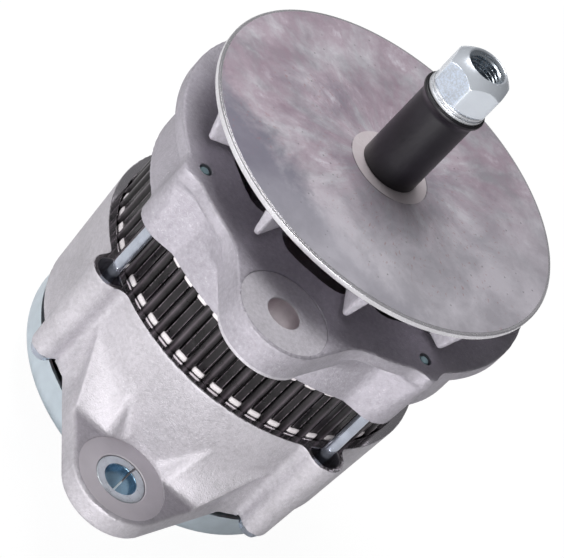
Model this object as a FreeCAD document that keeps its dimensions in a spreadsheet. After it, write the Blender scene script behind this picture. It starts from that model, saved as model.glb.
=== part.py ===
import FreeCAD, Part
import math
import os
import Sketcher

# Engine alternator with an outside fan, an open stator and two hinge lugs.
# The shaft axis is vertical and the drive end points up. Each piece is drawn about
# the shaft axis, with depths measured down from the front face of the fan, and is
# then placed so that the origin lies in the mouth of the drive-end hinge bore.

doc = FreeCAD.newDocument("EngineAlternator")
vector = FreeCAD.Vector

# Driving dimensions in millimetres and degrees, each with its alias and its meaning
SIZES = [
    ("hinge_radius", 89.2, "shaft axis to hinge axis"),
    ("hinge_bore_radius", 6.9, "bore for the hinge bolt"),
    ("lug_face_spacing", 107.5, "front hinge face to rear hinge face"),
    ("fan_radius", 78.0, "fan disc"),
    ("fan_disc_thickness", 2.9, "fan disc"),
    ("fan_depth", 17.7, "front face to blade edges"),
    ("fan_hub_radius", 18.7, "fan hub"),
    ("fan_hub_depth", 17.9, "front face to back of hub"),
    ("blade_count", 10, "fan blades"),
    ("blade_angle", -3.0, "first blade from the X axis"),
    ("blade_root_width", 3.8, "blade at the disc"),
    ("blade_edge_width", 1.8, "blade at its free edge"),
    ("blade_disc_reach", 75.0, "blade end at the disc"),
    ("blade_end_taper", 4.0, "blade end at the disc to blade end at the edge"),
    ("blade_inner_reach", 31.0, "blade start at its free edge"),
    ("fan_clearance", 1.7, "blade edges to housing"),
    ("sleeve_length", 41.2, "black sleeve"),
    ("sleeve_radius", 12.3, "black sleeve"),
    ("sleeve_lip_radius", 13.9, "flared lip of the sleeve"),
    ("sleeve_lip_height", 5.7, "flared lip of the sleeve"),
    ("washer_radius", 12.7, "nut washer"),
    ("washer_thickness", 3.2, "nut washer"),
    ("nut_across_flats", 23.8, "pulley nut"),
    ("nut_height", 16.2, "pulley nut"),
    ("nut_angle", 30.0, "first nut corner from the X axis"),
    ("nut_crown", 3.6, "height of the rounded crown"),
    ("nut_lead_in", 1.2, "bevel at the mouth of the nut"),
    ("thread_radius", 7.15, "threaded end of the shaft"),
    ("shaft_recess", 9.0, "nut mouth to end of shaft"),
    ("thread_lead_in", 1.0, "shaft step to sleeve end"),
    ("turned_fit", 0.05, "radial clearance of pieces on the shaft"),
    ("drive_shaft_radius", 11.1, "shaft under sleeve and fan"),
    ("bearing_shaft_radius", 12.5, "shaft in the drive bearing"),
    ("shoulder_radius", 16.0, "shaft shoulder behind the drive bearing"),
    ("core_shaft_radius", 13.0, "shaft in the pole pieces"),
    ("rear_shaft_radius", 8.5, "shaft in the rear bearing"),
    ("rear_shoulder_radius", 10.7, "shaft ahead of the rear bearing"),
    ("slip_shaft_radius", 7.5, "shaft under the slip rings"),
    ("key_width", 4.8, "fan key"),
    ("key_length", 12.0, "fan key"),
    ("key_height", 3.0, "fan key"),
    ("flange_overhang", 6.9, "flange past the drive-end wall"),
    ("flange_thickness", 6.0, "edge of the flange"),
    ("flange_taper", 6.6, "sloped height under the flange"),
    ("face_thickness", 6.0, "front wall of the drive-end housing"),
    ("drive_wall_thickness", 4.4, "drive-end wall round the stack"),
    ("drive_wall_depth", 33.1, "flange face to wall edge"),
    ("winding_room", 2.5, "end turns to both housings"),
    ("hub_opening_radius", 23.0, "front opening round the spacer"),
    ("front_lip", 4.6, "lip ahead of the drive bearing"),
    ("drive_bearing_radius", 31.0, "drive bearing outside"),
    ("drive_bearing_width", 17.0, "drive bearing"),
    ("drive_hub_wall", 7.0, "wall round the drive bearing"),
    ("bolt_gap", 3.5, "ridges of the stack to the through bolts"),
    ("bolt_radius", 2.4, "through bolt shank"),
    ("bolt_clearance", 0.3, "through bolt in its holes"),
    ("bolt_end_recess", 1.6, "bolt end below the flange face"),
    ("bolt_mouth_radius", 3.4, "mouth of the bolt hole in the flange"),
    ("bolt_mouth_depth", 4.0, "mouth of the bolt hole in the flange"),
    ("bolt_head_radius", 5.2, "through bolt head"),
    ("bolt_head_height", 3.0, "through bolt head"),
    ("drive_boss_radius", 8.4, "bolt bosses of the drive-end housing"),
    ("rear_boss_draft_angle", 2.7, "taper of the bolt bosses of the rear housing"),
    ("rear_boss_end_radius", 6.3, "bolt bosses of the rear housing at their end"),
    ("bolt_head_clearance", 0.6, "relief of the rear wall round each bolt head"),
    ("boss_pocket_radius", 6.6, "open pocket round each bolt"),
    ("boss_pocket_depth", 14.0, "open pocket round each bolt"),
    ("vent_circle_radius", 50.5, "middle of the front vents"),
    ("vent_half_width", 8.85, "front vents"),
    ("vent_half_angle", 9.5, "front vents, to the middle of the round end"),
    ("vent_count", 8, "front vents"),
    ("front_spotface_radius", 19.7, "spotface of the front lug"),
    ("front_spotface_depth", 0.5, "spotface of the front lug"),
    ("front_lug_radius", 19.5, "round end of the front lug"),
    ("front_lug_thickness", 13.0, "front lug"),
    ("front_lug_half_width", 36.0, "front lug at the wall"),
    ("ear_radius", 12.0, "adjusting ear"),
    ("ear_reach", 92.0, "shaft axis to the adjusting ear"),
    ("ear_thickness", 16.0, "adjusting ear"),
    ("ear_half_width", 17.0, "adjusting ear at the wall"),
    ("ear_thread_radius", 4.25, "threaded hole of the adjusting ear"),
    ("retainer_thickness", 2.5, "bearing retainer"),
    ("retainer_bore_radius", 20.0, "bearing retainer"),
    ("retainer_margin", 1.0, "retainer edge inside the hub edge"),
    ("retainer_screw_circle", 34.3, "retainer screws"),
    ("retainer_screw_radius", 1.5, "retainer screws"),
    ("retainer_screw_length", 9.0, "retainer screws under the head"),
    ("retainer_head_radius", 2.5, "retainer screws"),
    ("retainer_head_height", 2.2, "retainer screws"),
    ("screw_fit", 0.05, "radial clearance of screws in their holes"),
    ("stack_radius", 69.6, "stator stack over its ridges"),
    ("ridge_height", 2.1, "ridge"),
    ("back_iron", 6.5, "stack between its slots and the foot of the ridges"),
    ("stack_length", 41.0, "stator stack"),
    ("stack_angle", 3.75, "first ridge from the X axis"),
    ("ridge_count", 48, "ridges and slots of the stack"),
    ("ridge_top_width", 4.2, "ridge"),
    ("ridge_root_width", 5.2, "ridge"),
    ("slot_width", 3.0, "winding slot"),
    ("slot_depth", 11.0, "winding slot"),
    ("slot_clearance", 0.25, "winding in its slot"),
    ("winding_spread", 3.5, "end turns outside the slots"),
    ("winding_inset", 1.5, "end turns to the stack bore"),
    ("winding_gap", 0.5, "end turns to the stack"),
    ("winding_height", 9.5, "end turns"),
    ("bar_inset", 2.0, "winding in its slot to the stack bore"),
    ("pilot_depth", 5.5, "stack in each housing"),
    ("pilot_clearance", 0.1, "stack in each housing"),
    ("air_gap", 0.6, "rotor to stack bore"),
    ("pole_length", 39.8, "both pole pieces together"),
    ("pole_disc_thickness", 10.0, "pole piece disc"),
    ("pole_disc_step", 1.6, "claw underside to the rim of the pole disc"),
    ("claw_count", 8, "claws of each pole piece"),
    ("claw_thickness", 8.8, "claws"),
    ("claw_root_width", 16.4, "claw root"),
    ("claw_tip_width", 7.6, "claw tip"),
    ("claw_end_gap", 2.0, "claw tip to the far face"),
    ("core_radius", 24.0, "rotor core"),
    ("coil_gap", 2.2, "field coil to the claws"),
    ("bobbin_wall", 1.2, "bobbin of the field coil"),
    ("rear_wall_thickness", 3.7, "rear housing round the stack"),
    ("rear_wall_draft", 2.4, "rear housing, front edge to back edge"),
    ("rear_lug_drop", 3.1, "rear lug beyond the end of the housing wall"),
    ("rear_skirt_thickness", 3.7, "rear housing at its back edge"),
    ("bulkhead_inset", 22.4, "end of the rear housing wall to bulkhead"),
    ("bulkhead_thickness", 6.0, "bulkhead"),
    ("rear_bearing_radius", 20.0, "rear bearing outside"),
    ("rear_bearing_width", 12.0, "rear bearing"),
    ("rear_bearing_lead", 1.5, "rear bearing ahead of the bulkhead"),
    ("rear_hub_wall", 6.0, "wall round the rear bearing"),
    ("rear_hub_lip", 3.4, "lip ahead of the rear bearing"),
    ("rear_hub_bore_radius", 14.0, "opening ahead of the rear bearing"),
    ("rear_boss_inset", 3.0, "end of the bolt bosses before the wall edge"),
    ("rear_vent_circle_radius", 38.0, "bulkhead vents"),
    ("rear_vent_half_width", 5.0, "bulkhead vents"),
    ("rear_vent_half_angle", 4.0, "bulkhead vents"),
    ("rear_vent_count", 8, "bulkhead vents"),
    ("rear_lug_radius", 23.5, "round end of the rear lug"),
    ("rear_lug_thickness", 10.4, "rear lug"),
    ("rear_lug_half_width", 35.0, "rear lug at the wall"),
    ("rear_spotface_radius", 19.2, "spotface of the rear lug"),
    ("rear_spotface_depth", 0.5, "spotface of the rear lug"),
    ("spotface_cutter_height", 5.0, "cutter of the rear spotface against the wall"),
    ("gusset_height", 22.3, "gusset above the rear lug"),
    ("gusset_foot_half_width", 29.2, "outer corner of the gusset foot"),
    ("gusset_foot_inner", 16.5, "inner corner of the gusset foot"),
    ("gusset_foot_stand_out", 4.2, "outer corner of the foot beyond the wall end"),
    ("gusset_inner_stand_out", 2.9, "inner corner of the foot beyond the wall end"),
    ("gusset_top_half_width", 38.7, "outer corner of the gusset top"),
    ("gusset_top_inner", 19.0, "inner corner of the gusset top"),
    ("gusset_top_sink", 11.1, "outer corner of the top inside the wall end"),
    ("gusset_top_inner_sink", 1.2, "inner corner of the top inside the wall end"),
    ("gusset_scoop_bite", 4.3, "room for the bracket between the gussets, inside the wall end"),
    ("lug_root_sink", 7.0, "lugs start inside the housing walls"),
    ("bushing_radius", 10.9, "split bushing"),
    ("bushing_fit", 0.04, "radial clearance of the split bushing"),
    ("bushing_slot", 1.0, "slot of the split bushing"),
    ("bushing_slot_angle", 77.0, "slot of the split bushing from the X axis"),
    ("bushing_overhang", 3.6, "split bushing behind the rear lug"),
    ("bushing_sink", 0.3, "split bushing below the spotface"),
    ("ball_fit", 0.3, "bearing balls to their rings"),
    ("drive_ball_radius", 4.3, "drive bearing balls"),
    ("rear_ball_radius", 3.2, "rear bearing balls"),
    ("ball_count", 8, "balls of each bearing"),
    ("seal_thickness", 0.8, "bearing seals"),
    ("slip_hub_radius", 11.0, "insulating hub of the slip rings"),
    ("slip_ring_radius", 15.5, "slip rings"),
    ("slip_ring_width", 6.0, "slip rings"),
    ("slip_ring_spacing", 8.5, "front slip ring to rear slip ring"),
    ("slip_hub_gap", 2.5, "rear bearing to slip ring hub"),
    ("slip_hub_margin", 1.5, "hub beside each slip ring"),
    ("brush_gap", 0.3, "brush to slip ring"),
    ("brush_width", 5.0, "brush across the shaft"),
    ("brush_thickness", 5.0, "brush along the shaft"),
    ("brush_length", 16.0, "brush"),
    ("brush_fit", 0.15, "brush in its channel"),
    ("holder_inner_reach", 19.0, "shaft axis to brush holder"),
    ("holder_outer_reach", 45.0, "shaft axis to end of brush holder"),
    ("holder_half_width", 8.0, "brush holder"),
    ("holder_end_wall", 2.5, "brush holder behind the springs"),
    ("holder_margin", 2.6, "brush holder past the brushes"),
    ("holder_ear_half_width", 19.0, "ears of the brush holder"),
    ("holder_ear_inner_reach", 29.0, "ears of the brush holder"),
    ("holder_ear_thickness", 4.0, "ears of the brush holder"),
    ("holder_screw_offset", 14.5, "brush holder screws from the middle"),
    ("holder_screw_reach", 35.0, "shaft axis to brush holder screws"),
    ("bulkhead_bite", 5.0, "small screws in the bulkhead"),
    ("small_screw_radius", 2.0, "small screws"),
    ("small_head_radius", 3.6, "small screw heads"),
    ("small_head_height", 2.6, "small screw heads"),
    ("small_screw_bite", 6.0, "small screws into metal"),
    ("pad_radius", 4.2, "mounting pads on the bulkhead"),
    ("spring_radius", 1.9, "brush springs"),
    ("spring_wire", 0.7, "brush springs"),
    ("spring_turns", 4.0, "brush springs"),
    ("brush_lift", 2.2, "free way behind the brush springs"),
    ("plate_depth", 10.0, "bulkhead to rectifier plates"),
    ("plate_thickness", 4.0, "rectifier plates"),
    ("plate_inner_radius", 31.0, "rectifier plates"),
    ("plate_margin", 7.3, "rectifier plates to the rear wall"),
    ("plate_span", 66.0, "rectifier plates"),
    ("plate_angle", 47.0, "rectifier plates from the hinge side"),
    ("diode_circle_radius", 41.0, "diodes"),
    ("diode_angle", 23.0, "diodes, angle between two"),
    ("diode_radius", 6.35, "diodes"),
    ("diode_height", 8.0, "diodes"),
    ("diode_lead_radius", 1.2, "diode leads"),
    ("diode_lead_length", 6.0, "diode leads"),
    ("plate_post_inset", 4.0, "rectifier posts to the plate edge"),
    ("plate_post_angle", 25.0, "rectifier posts from the plate middle"),
    ("plate_post_radius", 3.6, "rectifier posts"),
    ("regulator_inner", 22.0, "regulator from the middle plane"),
    ("regulator_width", 24.0, "regulator"),
    ("regulator_front", 14.0, "regulator from the shaft, towards the ear"),
    ("regulator_length", 34.0, "regulator"),
    ("regulator_height", 12.0, "regulator"),
    ("regulator_ear", 3.0, "base plate of the regulator"),
    ("capacitor_radius", 7.0, "capacitor"),
    ("capacitor_length", 26.0, "capacitor"),
    ("capacitor_offset", 35.0, "capacitor from the middle plane"),
    ("capacitor_reach", 17.0, "capacitor from the shaft, towards the ear"),
    ("clamp_thickness", 1.0, "capacitor clamp"),
    ("clamp_width", 9.0, "capacitor clamp"),
    ("clamp_foot", 9.0, "capacitor clamp, foot beside the capacitor"),
    ("lead_radius", 1.2, "phase leads"),
    ("lead_inset", 2.0, "phase leads to the outside of the end turns"),
    ("lead_hole_radius", 1.8, "holes for the phase leads"),
    ("strap_half_width", 2.0, "straps of the phase leads"),
    ("strap_thickness", 1.0, "straps of the phase leads"),
    ("cover_inset", 1.8, "rear cover inside the back edge of the rear housing"),
    ("cover_wall", 1.5, "rear cover"),
    ("cover_gap", 4.7, "rear housing edge to cover rim"),
    ("cover_rim", 10.3, "straight rim of the cover"),
    ("cover_crown", 8.0, "dished end of the cover"),
    ("cover_flat_inset", 11.2, "cover rim to the flat end of the cover"),
    ("cover_shoulder_inset", 3.7, "cover rim to the shoulder of its dished end"),
    ("cover_vent_radius", 3.0, "air holes of the cover"),
    ("cover_vent_circle", 26.0, "air holes of the cover"),
    ("cover_vent_count", 12, "air holes of the cover"),
    ("standoff_circle", 50.0, "cover standoffs"),
    ("standoff_radius", 4.5, "cover standoffs"),
    ("output_circle", 51.0, "output stud"),
    ("output_angle", 212.0, "output stud from the X axis"),
    ("output_stud_radius", 3.2, "output stud up to its nut"),
    ("output_end_radius", 3.0, "free end of the output stud"),
    ("output_stud_length", 11.2, "output stud outside the cover"),
    ("output_head_radius", 5.5, "head of the output stud"),
    ("output_head_height", 3.0, "head of the output stud"),
    ("output_bush_radius", 4.8, "insulator of the output stud, inside"),
    ("output_flange_radius", 6.9, "insulator of the output stud, outside"),
    ("output_bush_flange", 2.0, "insulator outside the cover"),
    ("output_nut_flats", 10.0, "output nut"),
    ("output_nut_height", 3.2, "output nut"),
    ("ground_screw_radius", 3.0, "ground screw"),
    ("ground_screw_length", 9.0, "ground screw"),
    ("ground_head_radius", 5.5, "ground screw"),
    ("ground_head_height", 4.2, "ground screw"),
    ("ground_boss_radius", 7.0, "ground boss"),
    ("ground_offset", 1.0, "ground boss outside the back edge of the rear housing"),
    ("ground_angle", 110.0, "ground boss from the X axis"),
]


class Size:
    """A number together with the expression that binds it to the sheet."""

    def __init__(self, number, text):
        self.number = number
        self.text = text

    def __add__(self, other):
        other = as_size(other)
        return Size(self.number + other.number, f"({self.text} + {other.text})")

    def __sub__(self, other):
        other = as_size(other)
        return Size(self.number - other.number, f"({self.text} - {other.text})")

    def __mul__(self, other):
        other = as_size(other)
        return Size(self.number * other.number, f"({self.text} * {other.text})")

    def __truediv__(self, other):
        other = as_size(other)
        return Size(self.number / other.number, f"({self.text} / {other.text})")

    def __radd__(self, other):
        return as_size(other) + self

    def __rsub__(self, other):
        return as_size(other) - self

    def __rmul__(self, other):
        return as_size(other) * self

    def __rtruediv__(self, other):
        return as_size(other) / self

    def __neg__(self):
        return Size(-self.number, f"(0 - {self.text})")


def as_size(value):
    """Wrap a plain number so that it can stand in an expression."""
    if isinstance(value, Size):
        return value
    return Size(float(value), f"({float(value)!r})")


def sine(angle):
    angle = as_size(angle)
    return Size(math.sin(math.radians(angle.number)), f"sin({angle.text})")


def cosine(angle):
    angle = as_size(angle)
    return Size(math.cos(math.radians(angle.number)), f"cos({angle.text})")


def root(value):
    return Size(math.sqrt(value.number), f"sqrt({value.text})")


class SizeNames:
    """The aliases of the sheet as attributes."""


def fill_sheet():
    """Write every driving dimension into the sheet and give it its alias."""
    sheet = doc.addObject("Spreadsheet::Sheet", "Sizes")
    names = SizeNames()
    for row, (alias, number, meaning) in enumerate(SIZES, start=1):
        sheet.set(f"A{row}", alias)
        sheet.set(f"B{row}", str(number))
        sheet.setAlias(f"B{row}", alias)
        sheet.set(f"C{row}", meaning)
        setattr(names, alias, Size(float(number), f"Sizes.{alias}"))
    doc.recompute()
    return names


S = fill_sheet()

# Levels along the shaft, all worked out from the driving dimensions
FLANGE_Z = -(S.fan_depth + S.fan_clearance)
HINGE_Z = FLANGE_Z - S.front_spotface_depth
DRIVE_BEARING_Z = FLANGE_Z - S.front_lip
DRIVE_BEARING_END_Z = DRIVE_BEARING_Z - S.drive_bearing_width
DRIVE_EDGE_Z = FLANGE_Z - S.drive_wall_depth
STACK_TOP_Z = DRIVE_EDGE_Z + S.pilot_depth
STACK_END_Z = STACK_TOP_Z - S.stack_length
REAR_EDGE_Z = STACK_END_Z + S.pilot_depth
STACK_MIDDLE_Z = (STACK_TOP_Z + STACK_END_Z) / 2
POLE_TOP_Z = STACK_MIDDLE_Z + S.pole_length / 2
POLE_END_Z = STACK_MIDDLE_Z - S.pole_length / 2
REAR_LUG_Z = HINGE_Z - S.lug_face_spacing + S.rear_spotface_depth
REAR_SPOTFACE_Z = REAR_LUG_Z - S.rear_spotface_depth
REAR_LUG_END_Z = REAR_LUG_Z - S.rear_lug_thickness
REAR_WALL_END_Z = REAR_LUG_END_Z + S.rear_lug_drop
REAR_BOSS_END_Z = REAR_WALL_END_Z + S.rear_boss_inset
BULKHEAD_Z = REAR_WALL_END_Z + S.bulkhead_inset
BULKHEAD_END_Z = BULKHEAD_Z - S.bulkhead_thickness
REAR_BEARING_Z = BULKHEAD_Z + S.rear_bearing_lead
REAR_BEARING_END_Z = REAR_BEARING_Z - S.rear_bearing_width
SLIP_HUB_Z = REAR_BEARING_END_Z - S.slip_hub_gap
FRONT_RING_Z = SLIP_HUB_Z - S.slip_hub_margin
REAR_RING_Z = FRONT_RING_Z - S.slip_ring_spacing
SLIP_HUB_END_Z = REAR_RING_Z - S.slip_ring_width - S.slip_hub_margin
COVER_Z = REAR_WALL_END_Z - S.cover_gap
COVER_SHOULDER_Z = COVER_Z - S.cover_rim
COVER_END_Z = COVER_SHOULDER_Z - S.cover_crown
COVER_INSIDE_Z = COVER_END_Z + S.cover_wall
PLATE_Z = BULKHEAD_END_Z - S.plate_depth
PLATE_END_Z = PLATE_Z - S.plate_thickness
HOLDER_Z = FRONT_RING_Z + S.holder_margin - S.slip_ring_width / 2 + S.brush_thickness / 2
HOLDER_END_Z = REAR_RING_Z - S.slip_ring_width / 2 - S.brush_thickness / 2 - S.holder_margin
WASHER_Z = S.sleeve_length
NUT_Z = WASHER_Z + S.washer_thickness
NUT_TOP_Z = NUT_Z + S.nut_height

# Radii about the shaft, from the stack inwards to the rotor and outwards to the housings
STACK_ROOT_RADIUS = S.stack_radius - S.ridge_height
SLOT_BOTTOM_RADIUS = STACK_ROOT_RADIUS - S.back_iron
STACK_BORE_RADIUS = SLOT_BOTTOM_RADIUS - S.slot_depth
WINDING_OUTER_RADIUS = SLOT_BOTTOM_RADIUS + S.winding_spread
WINDING_INNER_RADIUS = STACK_BORE_RADIUS + S.winding_inset
CAVITY_RADIUS = WINDING_OUTER_RADIUS + S.winding_room
LEAD_CIRCLE_RADIUS = WINDING_OUTER_RADIUS - S.lead_inset
ROTOR_RADIUS = STACK_BORE_RADIUS - S.air_gap
CLAW_INNER_RADIUS = ROTOR_RADIUS - S.claw_thickness
POLE_DISC_RADIUS = CLAW_INNER_RADIUS - S.pole_disc_step
COIL_RADIUS = CLAW_INNER_RADIUS - S.coil_gap
PILOT_RADIUS = S.stack_radius + S.pilot_clearance
DRIVE_WALL_RADIUS = PILOT_RADIUS + S.drive_wall_thickness
FLANGE_RADIUS = DRIVE_WALL_RADIUS + S.flange_overhang
REAR_WALL_RADIUS = PILOT_RADIUS + S.rear_wall_thickness
REAR_END_RADIUS = REAR_WALL_RADIUS - S.rear_wall_draft
REAR_SKIRT_RADIUS = REAR_END_RADIUS - S.rear_skirt_thickness
COVER_RADIUS = REAR_END_RADIUS - S.cover_inset
PLATE_OUTER_RADIUS = REAR_SKIRT_RADIUS - S.plate_margin
PLATE_POST_CIRCLE = PLATE_OUTER_RADIUS - S.plate_post_inset
GROUND_CIRCLE = REAR_END_RADIUS + S.ground_offset
BOLT_CIRCLE_RADIUS = S.stack_radius + S.bolt_gap + S.bolt_radius
LUG_ROOT_REACH = CAVITY_RADIUS - S.lug_root_sink
DRIVE_HUB_RADIUS = S.drive_bearing_radius + S.drive_hub_wall

# How far cuts run past the material that they open
OVERCUT = 2.0
PARTS = []


def bind(item, path, size):
    """Bind a property of a feature to the sheet."""
    item.setExpression(path, as_size(size).text)


def new_body(label, turn=None):
    """A body placed by the hinge, and turned about the shaft where a turn is given."""
    body = doc.addObject("PartDesign::Body", label)
    body.Label = label
    place(body)
    if turn is not None:
        body.Placement = FreeCAD.Placement(vector(0, 0, 0), vector(0, 0, 1), turn.number)
        bind(body, "Placement.Rotation.Angle", turn)
    PARTS.append(body)
    return body


def place(item):
    bind(item, "Placement.Base.y", S.hinge_radius)
    bind(item, "Placement.Base.z", -HINGE_Z)


def origin_feature(body, role):
    for feature in body.Origin.OriginFeatures:
        if feature.Role == role:
            return feature
    raise ValueError(role)


def sketch_in(body, plane, name, offset=None):
    """A sketch on an origin plane of its body, moved along the plane's normal."""
    sketch = body.newObject("Sketcher::SketchObject", name)
    sketch.AttachmentSupport = (origin_feature(body, plane), [""])
    sketch.MapMode = "FlatFace"
    if offset is not None:
        bind(sketch, "AttachmentOffset.Base.z", offset)
    return sketch


def constrain(sketch, kind, size, *where):
    """Add a dimension to the sketch and bind it."""
    index = sketch.addConstraint(Sketcher.Constraint(kind, *where, size.number))
    sketch.setExpression(f"Constraints[{index}]", size.text)


def hold_point(sketch, geometry, end, x, y):
    """Fix a point of the sketch by its two distances from the origin."""
    for kind, value, axis in (("DistanceX", x, -2), ("DistanceY", y, -1)):
        if isinstance(value, Size):
            constrain(sketch, kind, value, -1, 1, geometry, end)
        else:
            sketch.addConstraint(Sketcher.Constraint("PointOnObject", geometry, end, axis))


def add_polygon(sketch, corners):
    """A closed outline of straight lines with every corner held by the sheet."""
    places = [vector(as_size(x).number, as_size(y).number, 0) for x, y in corners]
    first = sketch.GeometryCount
    count = len(corners)
    for start, end in zip(places, places[1:] + places[:1]):
        sketch.addGeometry(Part.LineSegment(start, end), False)
    for step in range(count):
        following = first + (step + 1) % count
        sketch.addConstraint(Sketcher.Constraint("Coincident", first + step, 2, following, 1))
    for step, (x, y) in enumerate(corners):
        hold_point(sketch, first + step, 1, x, y)


def add_circle(sketch, x, y, radius):
    centre = vector(as_size(x).number, as_size(y).number, 0)
    geometry = sketch.addGeometry(Part.Circle(centre, vector(0, 0, 1), radius.number), False)
    constrain(sketch, "Radius", radius, geometry)
    hold_point(sketch, geometry, 3, x, y)


def draw(sketch, circles, polygons):
    for x, y, radius in circles:
        add_circle(sketch, x, y, radius)
    for corners in polygons:
        add_polygon(sketch, corners)


def slab(body, name, top, bottom, circles=(), polygons=()):
    """Material between two levels, outlined by circles and polygons."""
    sketch = sketch_in(body, "XY_Plane", name + "_outline", bottom)
    draw(sketch, circles, polygons)
    feature = body.newObject("PartDesign::Pad", name)
    feature.Profile = sketch
    bind(feature, "Length", top - bottom)
    sketch.Visibility = False
    return feature


def cut(body, name, top, bottom, circles=(), polygons=()):
    """Material taken away between two levels."""
    sketch = sketch_in(body, "XY_Plane", name + "_outline", top)
    draw(sketch, circles, polygons)
    feature = body.newObject("PartDesign::Pocket", name)
    feature.Profile = sketch
    bind(feature, "Length", top - bottom)
    sketch.Visibility = False
    return feature


def turned(body, name, corners, cutting=False, sector=None, plane="XZ_Plane"):
    """A profile of radius and level turned about the shaft axis, whole or as a sector."""
    sketch = sketch_in(body, plane, name + "_profile")
    add_polygon(sketch, corners)
    kind = "PartDesign::Groove" if cutting else "PartDesign::Revolution"
    feature = body.newObject(kind, name)
    feature.Profile = sketch
    feature.ReferenceAxis = (sketch, ["V_Axis"])
    feature.Angle = 360.0
    if sector is not None:
        feature.Midplane = True
        bind(feature, "Angle", sector)
    sketch.Visibility = False
    return feature


def around(body, name, originals, count):
    """Repeat features evenly round the shaft axis."""
    pattern = body.newObject("PartDesign::PolarPattern", name)
    pattern.Originals = originals
    pattern.Axis = (origin_feature(body, "Z_Axis"), [""])
    pattern.Angle = 360.0
    bind(pattern, "Occurrences", count)
    body.Tip = pattern
    return pattern


def ring(label, inner, outer, top, bottom, turn=None):
    """A plain ring on the shaft axis."""
    body = new_body(label, turn)
    turned(body, label + "_ring", [(inner, top), (outer, top), (outer, bottom), (inner, bottom)])
    return body


def polar_spot(radius, angle):
    """Place in the plan view at an angle from the X axis."""
    return (radius * cosine(angle), radius * sine(angle))


def corner_spots(radius, first, count):
    return [polar_spot(radius, first + 360.0 / count * step) for step in range(count)]


def hexagon(across_flats):
    corner = across_flats / math.sqrt(3.0)
    angles = [math.radians(60.0 * step) for step in range(6)]
    return [(corner * math.cos(angle), corner * math.sin(angle)) for angle in angles]


def moved(corners, x, y):
    return [(x + corner_x, y + corner_y) for corner_x, corner_y in corners]


def rectangle(left, right, near, far):
    return [(left, near), (right, near), (right, far), (left, far)]


BOLT_SPOTS = [polar_spot(BOLT_CIRCLE_RADIUS, 45.0 + 90.0 * step) for step in range(4)]


def lug_outline(side, centre_reach, tip_radius, half_width, root_reach):
    """Web of a lug: from the wall to where its flanks touch the round end.

    The flank runs from the corner at the wall to the tangent point of the circle,
    found from the corner's offset and the length of the tangent.
    """
    along = centre_reach - root_reach
    square = along * along + half_width * half_width
    tangent = root(square - tip_radius * tip_radius)
    touch_x = tip_radius * (tip_radius * half_width + tangent * along) / square
    touch_y = tip_radius * (tip_radius * along - tangent * half_width) / square
    reach = (centre_reach - touch_y) * side
    base = root_reach * side
    return [(-half_width, base), (half_width, base), (touch_x, reach), (-touch_x, reach)]


def vent(body, name, top, bottom, circle_radius, half_width, half_angle, count):
    """Curved slots with round ends: a sector cut and two round cuts, repeated."""
    inner = -(circle_radius - half_width)
    outer = -(circle_radius + half_width)
    profile = [(inner, top), (outer, top), (outer, bottom), (inner, bottom)]
    sector = turned(body, name + "_sector", profile, True, half_angle * 2, "YZ_Plane")
    ends = [
        (circle_radius * sine(half_angle) * side, -(circle_radius * cosine(half_angle)), half_width)
        for side in (-1, 1)
    ]
    round_ends = cut(body, name + "_ends", top, bottom, circles=ends)
    return around(body, name + "s", [sector, round_ends], count)


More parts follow.
